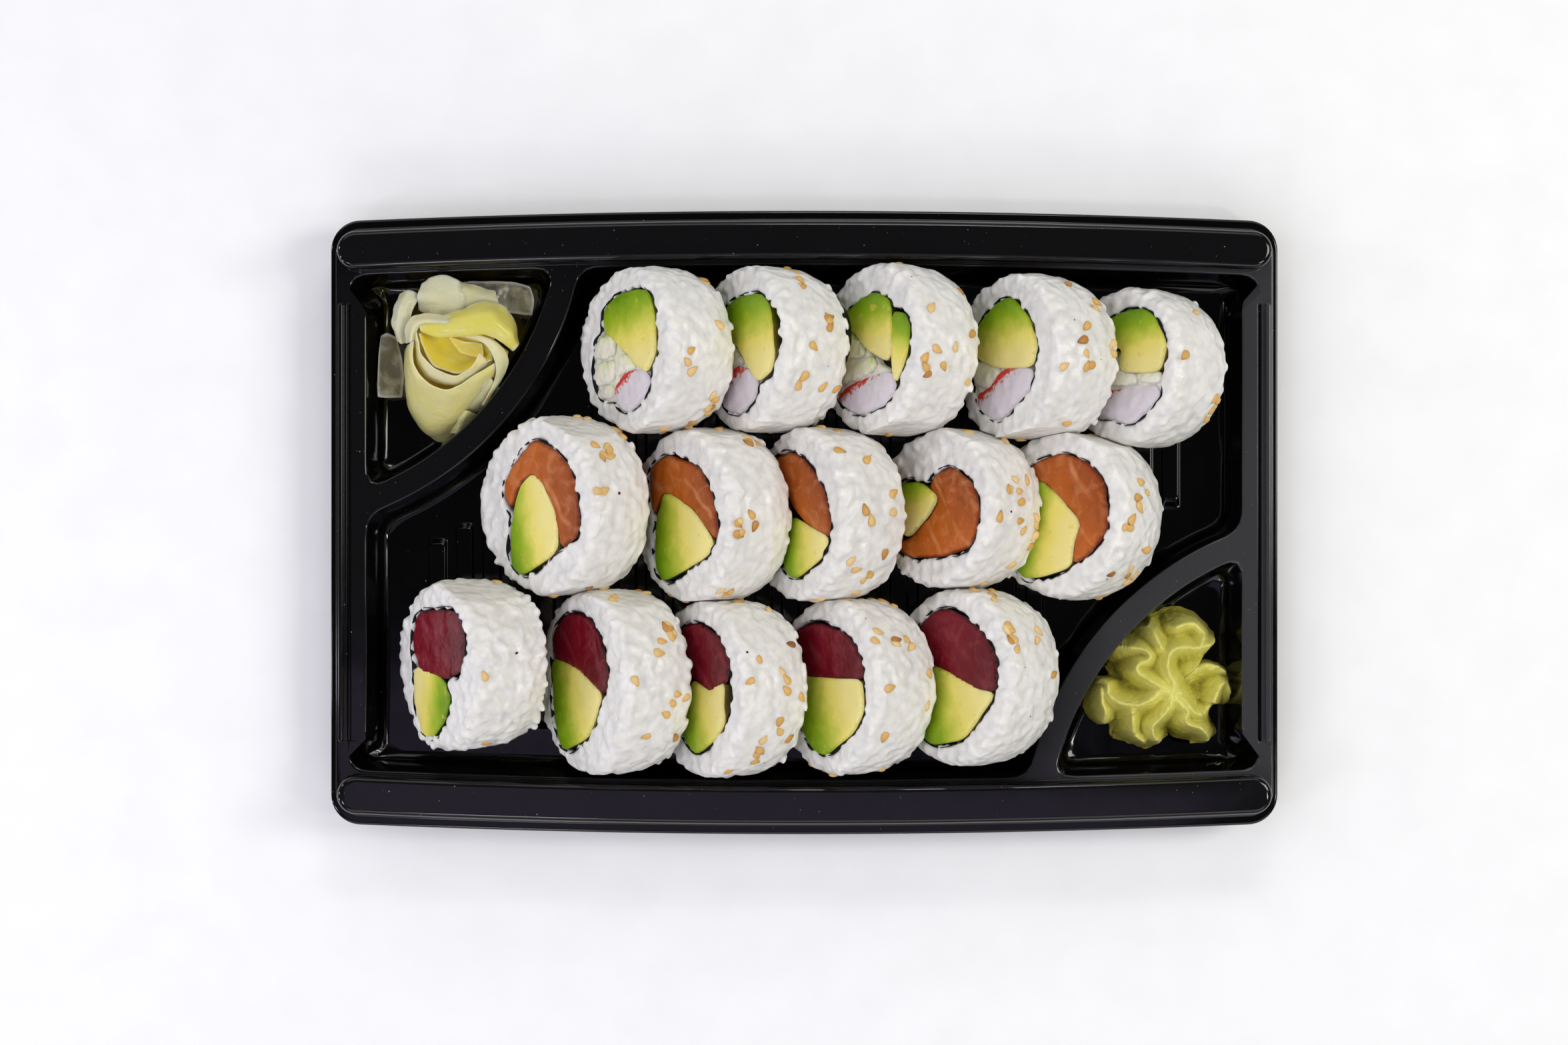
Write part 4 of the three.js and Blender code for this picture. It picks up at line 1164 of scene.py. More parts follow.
def make_nori(roll, hole, material):
    """The seaweed round the fillings, and a disc in its colour across the hole below each cut, which is
    painted shade at the bottom of the gaps beside them.
    """
    random = roll.random
    away = away_from_middle(hole)
    crinkle = np.abs(smooth_round(random.normal(0, 0.3, len(hole)), 2))
    lift = smooth_round(random.normal(0, 0.4, len(hole)), 2)
    rings = []
    for outset, height, share in (
        (NORI_THICKNESS, -ROLL_HALF - 0.1, 0), (NORI_THICKNESS, ROLL_HALF - 1.5, 0.3),
        (NORI_THICKNESS, ROLL_HALF - 0.05, 1), (0, ROLL_HALF - 0.05, 1), (0, ROLL_HALF - NORI_DEPTH, 0),
    ):
        rings.append(raised(hole + away * (outset + share * crinkle)[:, None], height + share * lift))
    middle = hole.mean(axis=0)
    # These rings make a dark disc across the hole below each cut face: painted shade at the bottom of the
    # gaps beside the fillings.
    for share, side in ((0.5, 1), (0.02, 1), (0.02, -1), (0.5, -1), (1, -1)):
        rings.append(raised(middle + (hole - middle) * share, side * (ROLL_HALF - NORI_DEPTH)))
    rings.append(raised(hole, -ROLL_HALF - 0.1))
    points, faces = closed_bands(rings)
    nori_piece = new_object(f"{roll.name}_nori", roll.to_tray(points), faces)
    return finish_piece(nori_piece, material)


def round_outline(outline, spacing):
    """A closed outline with its corners cut round, resampled at an even spacing."""
    points = np.array(outline, float)
    for _ in range(3):
        onward = np.roll(points, -1, axis=0)
        ends = (0.84 * points + 0.16 * onward, 0.16 * points + 0.84 * onward)
        points = np.stack(ends, axis=1).reshape(-1, 2)
    along = lengths_round(points)
    at = np.linspace(0, along[-1], round(along[-1] / spacing), endpoint=False)
    closed = np.vstack([points, points[:1]])
    return np.stack([np.interp(at, along, closed[:, axis]) for axis in (0, 1)], axis=1)


def distance_to(outline, points):
    """How far each point is from a closed outline."""
    start, end = outline, np.roll(outline, -1, axis=0)
    run = end - start
    share = np.einsum("pek,ek->pe", points[:, None] - start, run) / np.sum(run ** 2, axis=1)
    nearest = start + np.clip(share, 0, 1)[..., None] * run
    return np.linalg.norm(points[:, None] - nearest, axis=2).min(axis=1)


def is_inside(outline, points):
    start, end = outline, np.roll(outline, -1, axis=0)
    x, y = points[:, 0, None], points[:, 1, None]
    crosses = (start[:, 1] > y) != (end[:, 1] > y)
    with np.errstate(divide="ignore", invalid="ignore"):
        at = start[:, 0] + (y - start[:, 1]) / (end[:, 1] - start[:, 1]) * (end[:, 0] - start[:, 0])
    return np.sum(crosses & (x < at), axis=1) % 2 == 1


def mesh_grid(outline, spacing):
    """Points inside an outline in a triangular pattern, clear of its edge."""
    low, high = outline.min(axis=0), outline.max(axis=0)
    rows = np.arange(low[1], high[1], spacing * 0.87)
    points = np.array([
        (x, y) for number, y in enumerate(rows)
        for x in np.arange(low[0] + spacing / 2 * (number % 2), high[0], spacing)
    ])
    return points[is_inside(outline, points) & (distance_to(outline, points) > spacing * 0.55)]


# How each filling's cut face stands: its height above the rice's cut, crown, rounding, relief and its size.
FILLING_FORMS = {
    "avocado": dict(lift=0.2, crown=0.3, rounding=0.35, relief=0.22, relief_size=4),
    "salmon": dict(lift=0.0, crown=0.5, rounding=0.45, relief=0.4, relief_size=3.2),
    "tuna": dict(lift=-0.05, crown=0.45, rounding=0.45, relief=0.3, relief_size=4),
    "surimi": dict(lift=0.0, crown=0.4, rounding=0.45, relief=0.4, relief_size=2.2),
    "cucumber": dict(lift=-0.1, crown=0.3, rounding=0.4, relief=0.45, relief_size=1.7),
}
FILLING_SPACING = 0.8
BETWEEN_LIFT = -0.6  # of the cucumber that fills the gaps between a crab roll's pieces
FILLING_SWELL = 0.4  # how far a filling presses out against its neighbours and the seaweed


def widened(outline, reach):
    """A closed outline moved outwards, whichever way round it runs."""
    run = np.roll(outline, -1, axis=0) - np.roll(outline, 1, axis=0)
    outward = np.stack([run[:, 1], -run[:, 0]], axis=1) / np.linalg.norm(run, axis=1)[:, None]
    onward = np.roll(outline, -1, axis=0)
    area = np.sum(outline[:, 0] * onward[:, 1] - onward[:, 0] * outline[:, 1])
    return outline + math.copysign(reach, area) * outward


def make_filling(roll, number, kind, skin_side, outline, material, lift=0):
    """A filling that runs through the roll, with its cut faces crowned and uneven."""
    form = FILLING_FORMS[kind]
    edge = widened(round_outline(outline, FILLING_SPACING), FILLING_SWELL)
    flat = np.vstack([edge, mesh_grid(edge, FILLING_SPACING)])
    count, rim = len(flat), len(edge)
    _, _, triangles, sources, _, _ = delaunay_2d_cdt(
        [Vector(point) for point in flat], [], [list(range(rim))], INSIDE_WITH_HOLES, SAME_PLACE,
    )
    cap = [[sources[corner][0] for corner in triangle] for triangle in triangles]
    gap = distance_to(edge, flat)
    height = ROLL_HALF + lift + form["lift"] + form["crown"] * (1 - np.exp(-gap / 2.5))
    height -= form["rounding"] * (1 - np.minimum(gap / form["rounding"], 1)) ** 2
    shift = Vector(roll.random.uniform(-50, 50, 3))
    height += form["relief"] * np.array([
        noise.noise(Vector((x, y, 0)) / form["relief_size"] + shift) for x, y in flat
    ])
    faces = cap + [[corner + count for corner in reversed(triangle)] for triangle in cap]
    for i in range(rim):
        on = (i + 1) % rim
        faces.append([on, i, i + count, on + count])
    local = np.vstack([raised(flat, height), raised(flat, -height)])
    piece = new_object(f"{roll.name}_{kind}_{number}", roll.to_tray(local), faces)
    reach = local @ on_circle(math.radians(skin_side))
    store(piece, "skin", (reach - reach.min()) / (reach.max() - reach.min()))
    store(piece, "edge", np.concatenate([gap, gap]))
    store(piece, "grain", (local + np.array(shift)) * MM)
    return finish_piece(piece, material)


SEED_HALF_SIZE = (1.55, 0.95, 0.45)
SEED_TAPER = 0.5  # how much narrower one end of a seed is
SEEDS_ON_ROLL = 32
SPARSE_ROLLS = {"tuna_roll_1": 6, "crab_roll_5": 10}
SEEDS_IN_CLUSTERS = 0.42
CRUMB_HALF_SIZE = 0.5
CRUMBS = {"nori": (32, 0.6), "avocado": (16, 1.1), "tuna": (7, 1.0)}  # how many crumbs, and their size


class Surface:
    """The rice of a roll, to lay small things on."""

    def __init__(self, roll, rice_piece):
        self.roll = roll
        self.tree = BVHTree.FromPolygons(
            [Vector(point) for point in read_points(rice_piece.data)],
            [list(face.vertices) for face in rice_piece.data.polygons],
        )

    def lay(self, shape, angle, depth, turn, sink):
        """The shape's points, laid flat where a line from outside meets the side; none where it misses."""
        start = self.roll.to_tray(self.roll.side(np.array(angle), depth, 6))
        inward = -(np.cos(angle) * self.roll.axes[0] + np.sin(angle) * self.roll.axes[1])
        hit, normal, _, _ = self.tree.ray_cast(Vector(start), Vector(inward))
        if hit is None:
            return None
        lie = (normal - Vector(inward)).to_track_quat("Z", "X").to_matrix() @ Matrix.Rotation(turn, 3, "Z")
        return shape @ np.array(lie).T + np.array(hit + normal * sink)


def join_copies(name, copies, shape_faces):
    faces = repeated_faces(shape_faces, len(copies[0]), len(copies))
    return new_object(name, np.vstack(copies), faces)


def make_seeds(surfaces, material):
    """Sesame seeds lying flat on the rice all round the rolls, some in small clusters."""
    random = np.random.default_rng(7)
    ball_points, shape_faces = ball(6, 10)
    tip = ball_points[:, 2]
    shape = ball_points[:, [2, 0, 1]] * SEED_HALF_SIZE
    shape[:, 1:] *= (1 - SEED_TAPER * tip)[:, None]
    copies, toasted = [], []
    for surface in surfaces:
        angle = depth = 0
        for _ in range(SPARSE_ROLLS.get(surface.roll.name, SEEDS_ON_ROLL)):
            if random.random() < SEEDS_IN_CLUSTERS:
                angle += random.choice([-1, 1]) * random.uniform(2, 3) / surface.roll.half_across
                depth = min(max(depth + random.uniform(-2, 2), 2), ROLL_THICKNESS - 3)
            else:
                angle = random.uniform(0, 2 * math.pi)
                depth = random.uniform(2.5, ROLL_THICKNESS - 3)
            size = random.uniform(0.85, 1.12)
            placed = surface.lay(shape * size, angle, depth, random.uniform(0, 2 * math.pi), 0.1)
            if placed is not None:
                copies.append(placed)
                toasted.append(random.beta(1.4, 2.4) + 0.3 * np.maximum(tip, 0) ** 2)
    seeds = join_copies("sesame_seeds", copies, shape_faces)
    store(seeds, "toasted", np.concatenate(toasted))
    return finish_piece(seeds, material)


def make_crumbs(surfaces, materials):
    """Scraps of the fillings and the seaweed that stick to the rice."""
    random = np.random.default_rng(11)
    ball_points, shape_faces = ball(4, 6)
    for kind, (count, size) in CRUMBS.items():
        copies = []
        for _ in range(count):
            surface = surfaces[random.integers(len(surfaces))]
            shape = ball_points * CRUMB_HALF_SIZE * size * random.uniform(0.4, 1, 3) * (1, 1, 0.5)
            angle, turn = random.uniform(0, 2 * math.pi, 2)
            placed = surface.lay(shape, angle, random.uniform(1.5, ROLL_THICKNESS - 3), turn, 0)
            if placed is not None:
                copies.append(placed)
        finish_piece(join_copies(f"{kind}_crumbs", copies, shape_faces), materials[kind])


# ---- The ginger ----

GINGER_MIDDLE = (-88, 41.6, 1.1)
GINGER_THICKNESS = 0.34
GINGER_STEPS = (34, 16)
GINGER_RUFFLES = [(0.9, 9), (0.45, 3.2), (0.2, 1.4)]  # how deep and how long the waves in a slice are
GINGER_FIBRES = (9, 26, 7)  # the fibres' texture along a slice and across it, and its step to the next slice
# Each slice is a sheet through rows of points about the heap's middle; it is more or less golden, and thin
# slices are clear.
GINGER_SLICES = {
    "front": dict(golden=0.5, rows=[
        [(-13.7, 3, 3), (-14.4, -6, 1), (-13, -14.4, 0.5), (-8.4, -19.4, 0.4), (-2.6, -19.8, 0.5),
            (3, -13.6, 1.5), (10.2, -4.6, 5)],
        [(-13, 3.4, 11), (-13.4, -4.6, 9.5), (-12, -12, 8.4), (-7.6, -17, 7.6), (-1.8, -16.8, 8),
            (4, -11, 10), (10.4, -3.4, 11.6)],
        [(-11.8, 3.8, 16.4), (-11.6, -2.4, 16.6), (-9.4, -6.6, 16.8), (-5.4, -9.4, 16.8), (-1, -10, 17),
            (4.4, -7.2, 16.6), (10.6, -2.4, 15.6)],
        [(-10.6, 4.2, 18), (-10.2, -1.4, 18.4), (-8.2, -4.8, 18.8), (-4.8, -7.2, 19), (-0.8, -8, 19),
            (4, -5.4, 18.2), (10.2, -1.2, 16.6)],
    ]),
    "second": dict(golden=0.25, rows=[
        [(-10.3, 4.6, 15.6), (-9.6, -1.8, 15.8), (-6.4, -6, 16.2), (-1.6, -7.4, 16.2), (3.2, -5.6, 16),
            (8.2, -1.4, 15.4)],
        [(-9.9, 5.4, 17.6), (-8.9, 0, 17.9), (-5.9, -4.4, 18.3), (-0.4, -6.2, 18.3), (3.8, -4.2, 18),
            (7.6, 0, 17)],
        [(-9.4, 6.4, 18.6), (-8, 1.4, 19.2), (-5, -2.6, 19.6), (0.5, -4.7, 19.6), (4.6, -2.4, 19),
            (6.8, 0.9, 18)],
    ]),
    "lining": dict(golden=0.9, rows=[
        [(-9.2, 6, 17.6), (-7.6, 1.6, 18), (-4.6, -2.1, 18.4), (0.6, -4, 18.4), (5.4, -2.4, 17.4),
            (9.6, -0.8, 15.6)],
        [(-7.4, 6.6, 15.2), (-5.6, 3, 14.2), (-3, 0, 13.8), (0.6, -1.8, 13.6), (4.6, -0.6, 13.6),
            (9.2, 1.4, 14)],
        [(-6, 7.2, 15.6), (-3.8, 5, 14.6), (-1.2, 3, 14), (1.6, 2, 13.8), (5, 2.2, 14), (9.2, 3, 14.2)],
        [(-5.4, 8, 16.6), (-3, 6.6, 16.2), (0, 5.8, 16), (3, 5.6, 16), (6.4, 5.6, 16), (10, 5.2, 15.6)],
    ]),
    "tongue": dict(golden=0.8, rows=[
        [(-1.6, 5.6, 16.1), (2.6, 4.4, 15.6), (6.8, 3.6, 15.4)],
        [(-0.6, 3.6, 14.9), (3, 2.4, 14.6), (7, 1.6, 14.8)],
        [(1, 1.2, 14.3), (4, 0.4, 14.2), (7, -0.2, 14.8)],
    ]),
    "fold": dict(golden=0.75, rows=[
        [(-8.5, 8.6, 14), (-4, 10.8, 15), (2, 12.6, 16), (8.6, 14.4, 15), (13.6, 11, 12), (15.4, 4, 9)],
        [(-8.8, 8, 17.6), (-4, 9, 19), (2, 9.4, 20.2), (8.4, 10.2, 20), (13.6, 7, 18.6), (15.8, 3, 15.5)],
        [(-8.6, 7.2, 18), (-4.2, 5.6, 18.6), (1, 5.4, 19), (7, 5.6, 18.8), (11.4, 4, 17.8),
            (14.3, 1.6, 15.4)],
        [(-8, 6.6, 16), (-4, 6, 15.5), (1, 6.4, 15.5), (7, 6.6, 15.5), (10.6, 5.4, 15), (12.6, 3.6, 13.6)],
    ]),
    "under_fold": dict(golden=0.8, rows=[
        [(7.5, 4.4, 15), (10.5, 3.6, 14.5), (13, 1.8, 13)],
        [(8.8, 1.6, 14), (11, 1, 13.5), (12.6, 0, 12.4)],
    ]),
    "strip": dict(golden=0.2, rows=[
        [(2.6, 5.4, 17.2), (7.4, 3.4, 17.6), (9.8, -0.4, 17), (10, -4.4, 15), (8.2, -8, 12.6),
            (5.8, -11.4, 10)],
        [(3, 6, 17.8), (8.4, 4.4, 18), (11.2, 0.4, 17), (11, -4.2, 14.6), (9, -8, 12), (6.2, -11.4, 9.6)],
        [(3.2, 6.2, 17.4), (9.2, 5, 16.8), (12.7, 0.8, 15), (11.8, -4, 12.6), (9.4, -7.6, 10.4),
            (6.4, -11.3, 8.8)],
    ]),
    "tuck": dict(golden=0.35, rows=[
        [(0.2, -12.6, 10.4), (4.2, -8.6, 13), (8.4, -4.6, 14.4)],
        [(2, -13.2, 9.4), (6, -10.2, 11), (9.8, -6.2, 12.4)],
        [(3, -14.6, 6), (7, -12, 7.4), (10.8, -7.8, 9)],
    ]),
    "crimp": dict(golden=0.4, rows=[
        [(-2.4, -18.6, 4), (-1, -15.6, 8), (0.8, -13, 10)],
        [(-0.8, -18.6, 6), (1, -15.8, 9.2), (2.6, -13.2, 10.6)],
        [(1, -18, 3), (3, -16, 6), (4.4, -14, 8)],
    ]),
    "back": dict(golden=0.15, rows=[
        [(-9.6, 12.6, 10), (-6.5, 11, 11.5), (-2, 10.4, 13), (1.5, 11.6, 13), (4.5, 13.4, 12)],
        [(-9.8, 15.4, 13), (-6.2, 15.2, 14.8), (-2, 15, 14.6), (1.4, 15.2, 14.8), (3.8, 15.2, 12.5)],
        [(-8.6, 18.8, 13), (-5.8, 20.6, 14.6), (-2.6, 21, 15), (0, 19.8, 14.6), (2, 17.6, 12.4)],
    ]),
    "back_right": dict(golden=0.3, rows=[
        [(-1, 20, 13.6), (4.4, 18.4, 12.6), (9.6, 17.2, 11.4)],
        [(0.4, 16.6, 15), (5, 16, 13.8), (10.4, 14.8, 12)],
        [(2, 12.4, 13.6), (6, 13, 12.6), (11, 12.2, 11)],
    ]),
    "left": dict(golden=0.1, rows=[
        [(-14.8, 16.6, 11.5), (-16.4, 12.5, 12), (-16.8, 8, 12), (-15.8, 4.4, 10.5)],
        [(-12.2, 17.4, 13), (-14, 12.6, 14.4), (-14.6, 8, 14.2), (-14.2, 3.6, 11.8)],
        [(-9.4, 16.2, 12), (-11, 12, 13.4), (-12, 8, 13.4), (-12.6, 4.2, 11)],
    ]),
    "curl": dict(golden=0.15, rows=[
        [(-12.2, 3.6, 14.5), (-12, 8.4, 15.6), (-8.5, 10.9, 16.6), (-3.5, 10.8, 17.6), (0.6, 9.8, 19.6)],
        [(-11.2, 3.8, 17), (-10.4, 7.4, 18.4), (-8, 9, 19), (-4.2, 9, 19.4), (-0.4, 8.8, 20.2)],
        [(-10.4, 4, 16.6), (-9.2, 6.8, 17.8), (-7.6, 8, 18.4), (-4.4, 8.2, 19), (-1, 8.3, 19.9)],
    ]),
    "thin_right": dict(golden=0, clear=0.9, rows=[
        [(1.5, 19.4, 12.8), (8, 19.8, 11.4), (14.6, 19.4, 10.5), (18.4, 18.2, 11.5)],
        [(3.5, 16.4, 13), (9, 16.2, 11.4), (15, 15.6, 9.4), (19.4, 14.8, 10.4)],
        [(6, 13.4, 12.5), (10.5, 12.2, 9.5), (15, 11.6, 8), (18.8, 11.2, 8.8)],
    ]),
    "thin_left": dict(golden=0, clear=0.9, rows=[
        [(-19.8, 6, 9.5), (-20.6, 0, 8.8), (-20.9, -5, 8.4), (-20.8, -9.6, 8.2)],
        [(-18, 6.6, 10), (-18, 0.4, 8), (-18.2, -4.6, 7), (-18.2, -9.8, 6.6)],
        [(-15.8, 5.6, 9), (-14.6, 0, 7), (-14.4, -4.6, 5.4), (-15, -9.6, 4.4)],
    ]),
}
# The heap's core under the slices: half lengths along X and Y at each height, about its own middle.
GINGER_CORE = [(10, 12.5, 0.3), (11.2, 13.8, 3), (9.6, 11.6, 7.5), (5, 5, 10.5)]
GINGER_CORE_MIDDLE = (-2.5, -0.5)


def curve_through(points, count):
    """Evenly stepped points on a smooth curve through the given ones, along their first axis."""
    points = np.array(points, float)
    padded = np.concatenate([2 * points[:1] - points[1:2], points, 2 * points[-1:] - points[-2:-1]])
    at = np.linspace(0, len(points) - 1, count)
    first = np.minimum(at.astype(int), len(points) - 2)
    t = (at - first).reshape(-1, *[1] * (points.ndim - 1))
    a, b, c, d = (padded[first + shift] for shift in range(4))
    second, third = 2 * a - 5 * b + 4 * c - d, 3 * b - a - 3 * c + d
    return 0.5 * (2 * b + (c - a) * t + second * t ** 2 + third * t ** 3)


def grid_faces(columns, rows):
    starts = [column * rows + row for column in range(columns - 1) for row in range(rows - 1)]
    return [(start, start + rows, start + rows + 1, start + 1) for start in starts]


def waviness(points, scale, shift):
    return np.array([noise.noise(Vector(point) * scale + Vector(shift)) for point in points])


def make_ginger_slice(order, name, rows, golden, clear=0):
    """A folded slice, with its edges ruffled."""
    length_steps, width_steps = GINGER_STEPS
    lines = np.array([curve_through(row, length_steps) for row in rows])
    sheet = curve_through(lines, width_steps)
    along = np.gradient(sheet, axis=1)
    across = np.gradient(sheet, axis=0)
    out = unit(np.cross(along, across))
    wide, long = np.meshgrid(np.linspace(-1, 1, width_steps), np.linspace(-1, 1, length_steps), indexing="ij")
    edge = np.maximum(wide ** 2, long ** 4).ravel()
    flat, out = sheet.reshape(-1, 3), out.reshape(-1, 3)
    waves = sum(size * waviness(flat, 1 / length, (order * 9, 0, 0)) for size, length in GINGER_RUFFLES)
    points = flat + out * (waves * (0.6 + 0.6 * edge))[:, None] + np.array(GINGER_MIDDLE)
    piece = new_object(f"ginger_{name}", points, grid_faces(width_steps, length_steps))
    store(piece, "edge", edge)
    store(piece, "golden", np.full(len(flat), golden))
    store(piece, "clear", np.full(len(flat), clear))
    weave = np.column_stack([long.ravel(), wide.ravel(), np.full(len(flat), order)]) * GINGER_FIBRES
    store(piece, "fibres", weave * MM)
    modify(piece, "SOLIDIFY", thickness=GINGER_THICKNESS * (1 - 0.4 * clear) * MM, offset=0)
    modify(piece, "SUBSURF", levels=1, render_levels=1)
    return piece


def make_ginger_core():
    angles = circle_angles(48)
    rings = [
        on_circle(angles, z) * (half_x, half_y, 1) + (*GINGER_CORE_MIDDLE, 0)
        for half_x, half_y, z in curve_through(GINGER_CORE, 12)
    ]
    points = np.concatenate(rings)
    faces = ring_faces(len(rings), len(angles))
    faces.append(range(len(points) - len(angles), len(points)))
    faces.append(range(len(angles))[::-1])
    piece = new_object("ginger_core", points + np.array(GINGER_MIDDLE), faces)
    for name, value in (("edge", 0), ("golden", 0.9), ("clear", 0)):
        store(piece, name, np.full(len(points), value))
    return piece


def make_ginger(material):
    slices = enumerate(GINGER_SLICES.items())
    pieces = [make_ginger_slice(order, name, **facts) for order, (name, facts) in slices]
    for piece in (*pieces, make_ginger_core()):
        finish_piece(piece, material, ["ginger"])


# ---- The wasabi ----

WASABI_MIDDLE = (93.3, -43.4, 1.1)
# The rosette's outline in plan, about its middle: the petals' tips and the notches between them.
WASABI_OUTLINE = [
    (2.4, 21), (6.2, 20), (9.7, 16.8), (12.5, 13.3), (8.6, 9.4), (6.6, 7.4), (10.6, 7.8), (15, 5.8),
    (16.2, 0), (15.8, -3.7), (11.6, -3), (10, -5), (12.8, -10), (9.7, -13), (1.8, -12.8), (0.8, -10.6),
    (-4.4, -14.6),
    (-9.7, -12.6), (-14, -11.4), (-13.8, -7.6), (-17, -8.6), (-20.4, -5), (-20.6, -0.4), (-18.4, 3.8),
    (-13.6, 3.6), (-16.4, 8), (-13, 12.8), (-8.8, 17.2), (-5.8, 17.4), (-4.6, 19.4), (-1, 20.4),
]
# The crests of its folds, from the middle outwards.
WASABI_CRESTS = [
    [(0, 0), (0.4, 2.6), (-1.1, 5.6), (-1.1, 8.6), (0.2, 11), (3.2, 11.8), (6.7, 11.6), (9.7, 12.3),
     (12, 13)],
    [(7.2, 11.6), (8.6, 15), (6.7, 17.4), (4.1, 17.8), (1.5, 16.8)],
    [(0, 0), (-2.8, 1.9), (-6.2, 3.7), (-8.9, 5.8), (-8.4, 7.5), (-6.2, 8.4), (-5.5, 9.7), (-6.9, 11.2),
     (-9.7, 11.6), (-13, 12)],
    [(0, 0), (-2.8, 0.6), (-5.4, -1.5), (-8.8, -2.9), (-13.1, -2.4), (-15.9, -0.4), (-16.3, 2.2), (-18, 3.5)],
    [(-17.8, 1), (-17.6, -2.6), (-16.8, -4.7), (-17, -8)],
    [(0, -0.4), (-0.6, -3), (-2.8, -6), (-4.9, -8.4), (-4.5, -11), (-2.8, -12.7)],
    [(-10.1, -4.7), (-9.7, -9), (-8.8, -11.2), (-6.9, -12.6)],
    [(0.6, -0.9), (2.6, -3), (3.9, -4.7), (3.4, -6.9), (4.9, -8.2), (7.5, -9), (9.5, -11), (10, -12.6)],
    [(1.3, 0), (3.7, -2.6), (6.2, -5.1), (9.5, -4.5), (11, -1.7), (12.7, 1.9), (14.8, 2.4), (15.8, 0)],
    [(5.6, 6.2), (9.2, 7.4), (13.1, 6.6), (15, 5.4)],
    [(-5.6, 17), (-4.1, 14.6), (-2.8, 11.6)],
]
# Height of the crests from the middle out to the edge, and how deep the folds are between them.
WASABI_SHARES = (0, 0.3, 0.6, 0.8, 0.93, 1)
WASABI_HEIGHTS = (12.4, 13.4, 12.4, 10.6, 7.6, 0)
WASABI_RADII = (0, 3, 8, 14, 20)
WASABI_DEPTHS = (0.8, 4.6, 9, 9.4, 7)
WASABI_FOLD = 5.6  # how wide a crest's flank is
WASABI_HOLLOW = 1.6  # how hollow the flank is
WASABI_CREST_ROUNDING = 0.3
WASABI_RIM = 7  # how high the folds have their full depth
WASABI_FLUTES = (0.35, 11)  # how deep the grooves of the nozzle's teeth are, and how close
WASABI_LUMPS = [(0.35, 0.8), (0.16, 2.4)]  # how deep the paste's grain is, and how fine
WASABI_SPREAD = 1.05  # makes up for the rounding of the outline's tips


def make_wasabi(material):
    angles = circle_angles(360)
    count = len(angles)
    levels = np.sin(np.linspace(0, 1, 72)[1:] * math.pi / 2)
    outline = round_outline(WASABI_OUTLINE, 0.5)
    reach = WASABI_SPREAD * smooth_round(polar(outline, np.zeros(2), angles), 1)
    flutes = WASABI_FLUTES[0] * waviness(on_circle(angles), WASABI_FLUTES[1], (0, 0, 0))
    radius = np.outer(levels, reach) + np.outer(levels ** 4, flutes)
    flat = (radius[..., None] * on_circle(angles)[:, :2]).reshape(-1, 2)
    share = np.repeat(levels, count)
    gap = np.full(len(flat), 99.0)
    for crest in WASABI_CRESTS:
        line = curve_through(crest, 40)
        gap = np.minimum(gap, np.linalg.norm(flat[:, None] - line, axis=2).min(axis=1))
    gap = np.sqrt(gap ** 2 + WASABI_CREST_ROUNDING ** 2) - WASABI_CREST_ROUNDING
    near_crest = np.maximum(1 - gap / WASABI_FOLD, 0) ** WASABI_HOLLOW
    depth = np.interp(np.hypot(*flat.T), WASABI_RADII, WASABI_DEPTHS)
    height = np.interp(share, WASABI_SHARES, WASABI_HEIGHTS)
    height = height - depth * (1 - near_crest) * np.minimum(height / WASABI_RIM, 1)
    lumps = sum(
        size * waviness(raised(flat, height), scale, (0, 0, 9 * order))
        for order, (size, scale) in enumerate(WASABI_LUMPS)
    )
    height = np.maximum(height + lumps * (share < 0.98), 0)
    points = np.vstack([raised(flat, height), [[0, 0, height[:count].mean()], [0, 0, 0]]])
    faces = [(face[0], *face[:0:-1]) for face in ring_faces(len(levels), count)]
    for i in range(count):
        on = (i + 1) % count
        faces.append((len(points) - 2, i, on))
        faces.append((len(points) - 1, len(flat) - count + on, len(flat) - count + i))
    piece = new_object("wasabi_rosette", points + np.array(WASABI_MIDDLE), faces)
    store(piece, "crest", np.append(near_crest, (1, 0)))
    finish_piece(piece, material, ["wasabi"])


def make_rolls():
    rice_material, nori_material = rice(), nori()
    filling_materials = {
        "avocado": avocado(), "salmon": salmon(), "tuna": tuna(), "surimi": surimi(), "cucumber": cucumber(),
    }
    rolls = [
        Roll(kind, row, place, **facts)
        for row, (kind, members) in enumerate(ROLLS.items()) for place, facts in enumerate(members)
    ]
    angles = circle_angles(120)
    surfaces = []
    for roll in rolls:
        hole = outline_round([outline for _, _, outline in roll.fillings], len(angles))
        surfaces.append(Surface(roll, make_rice(roll, rolls, hole, angles, rice_material)))
        make_nori(roll, hole, nori_material)
        for number, (kind, skin_side, outline) in enumerate(roll.fillings, 1):
            if kind != "gap":
                make_filling(roll, number, kind, skin_side, outline, filling_materials[kind])
        chunks = [outline for kind, _, outline in roll.fillings if kind in ("cucumber", "surimi")]
        if chunks:
            between = outline_round(chunks, 40)
            make_filling(roll, 0, "cucumber", 90, between, filling_materials["cucumber"], lift=BETWEEN_LIFT)
    make_seeds(surfaces, sesame())
    make_crumbs(surfaces, {**filling_materials, "nori": nori_material})


# ---- Camera, light and floor ----

CAMERA_PLACE = (-5.14, 0, 715)
CAMERA_FIELD = 396.6  # width of the view at the height of the rim
SENSOR_WIDTH = 36
FLOOR_HALF = 2500


def make_camera():
    camera = bpy.data.cameras.new("camera")
    camera.sensor_width = SENSOR_WIDTH
    camera.lens = SENSOR_WIDTH * (CAMERA_PLACE[2] - RIM_TOP) / CAMERA_FIELD
    camera.clip_start = 0.01
    holder = bpy.data.objects.new("camera", camera)
    holder.location = Vector(CAMERA_PLACE) * MM
    bpy.context.collection.objects.link(holder)
    bpy.context.scene.camera = holder


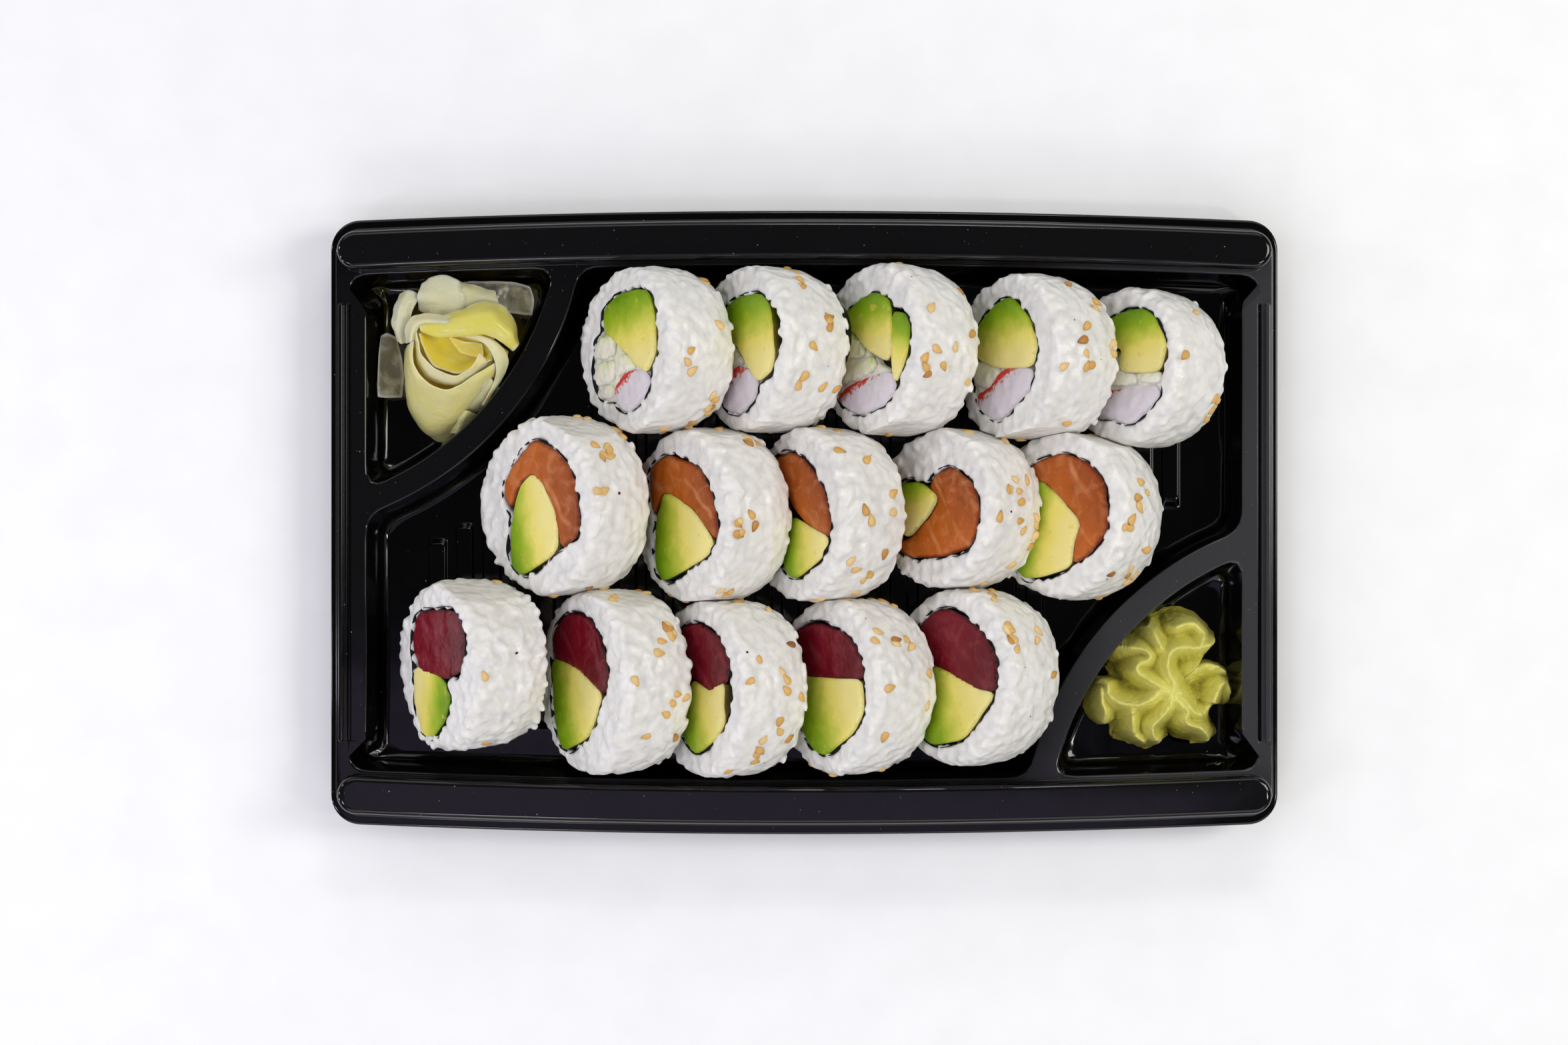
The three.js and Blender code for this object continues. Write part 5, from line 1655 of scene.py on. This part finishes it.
def make_softbox(name, place, size, power, colour):
    """An area light that faces the tray's middle."""
    light = bpy.data.lights.new(name, "AREA")
    light.shape = "RECTANGLE"
    light.size, light.size_y = size[0] * MM, size[1] * MM
    light.energy = power
    light.color = colour
    holder = bpy.data.objects.new(name, light)
    holder.visible_glossy = name not in NOT_MIRRORED
    holder.location = Vector(place) * MM
    holder.rotation_euler = Vector(place).to_track_quat("Z", "Y").to_euler()
    bpy.context.collection.objects.link(holder)


def make_floor():
    points = [(x * FLOOR_HALF, y * FLOOR_HALF, 0) for x, y in ((-1, -1), (1, -1), (1, 1), (-1, 1))]
    floor = new_object("floor", points, [(0, 1, 2, 3)])
    finish = Finish("floor", 0.6, ior=1.5)
    tone = finish.noise(15)
    finish.colour(finish.ramp(tone, (0.3, (0.93, 0.93, 0.92)), (0.7, (0.96, 0.96, 0.95))))
    floor.data.materials.append(finish.material)


# Each softbox: its place, its size, its power and its colour. Three narrow ones make the glints on the left.
SOFTBOXES = {
    "key": ((600, 120, 640), (260, 420), 2.9, (1, 0.985, 0.945)),
    "fill": ((-560, -40, 720), (900, 1100), 3.7, (0.90, 0.895, 1)),
    "front": ((60, -680, 520), (1300, 500), 2.3, (1, 1, 1)),
    "back": ((-60, 700, 520), (1300, 500), 2.0, (1, 1, 1)),
    "left_strip": ((-430, -260, 520), (40, 160), 0.3, (0.85, 0.8, 1)),
    "glint_1": ((-540, -200, 110), (30, 100), 0.2, (0.95, 0.95, 1)),
    "glint_2": ((-540, -60, 160), (30, 100), 0.2, (0.95, 0.95, 1)),
    "glint_3": ((-540, 160, 230), (30, 100), 0.2, (0.95, 0.95, 1)),
    "right_strip": ((400, -150, 580), (40, 160), 0.45, (1, 1, 0.98)),
    "back_strip": ((60, 480, 520), (160, 40), 0.35, (1, 1, 1)),
    "front_strip": ((-150, -480, 520), (90, 40), 0.22, (0.95, 0.93, 1)),
    "violet_panel": ((-30, -220, 700), (460, 250), 0.15, (0.75, 0.6, 1)),
}
NOT_MIRRORED = {"fill"}  # too broad: its reflection would lie over the food like haze


def make_light():
    world = bpy.data.worlds.new("studio")
    world.use_nodes = True
    background = world.node_tree.nodes["Background"]
    background.inputs["Color"].default_value = (0.9, 0.92, 1, 1)
    background.inputs["Strength"].default_value = 0.04
    bpy.context.scene.world = world
    for name, facts in SOFTBOXES.items():
        make_softbox(name, *facts)
    bpy.context.scene.view_settings.view_transform = "Standard"


make_camera()
make_light()
make_floor()
make_tray(black_plastic())
make_rolls()
make_ginger(ginger_flesh())
make_wasabi(wasabi())
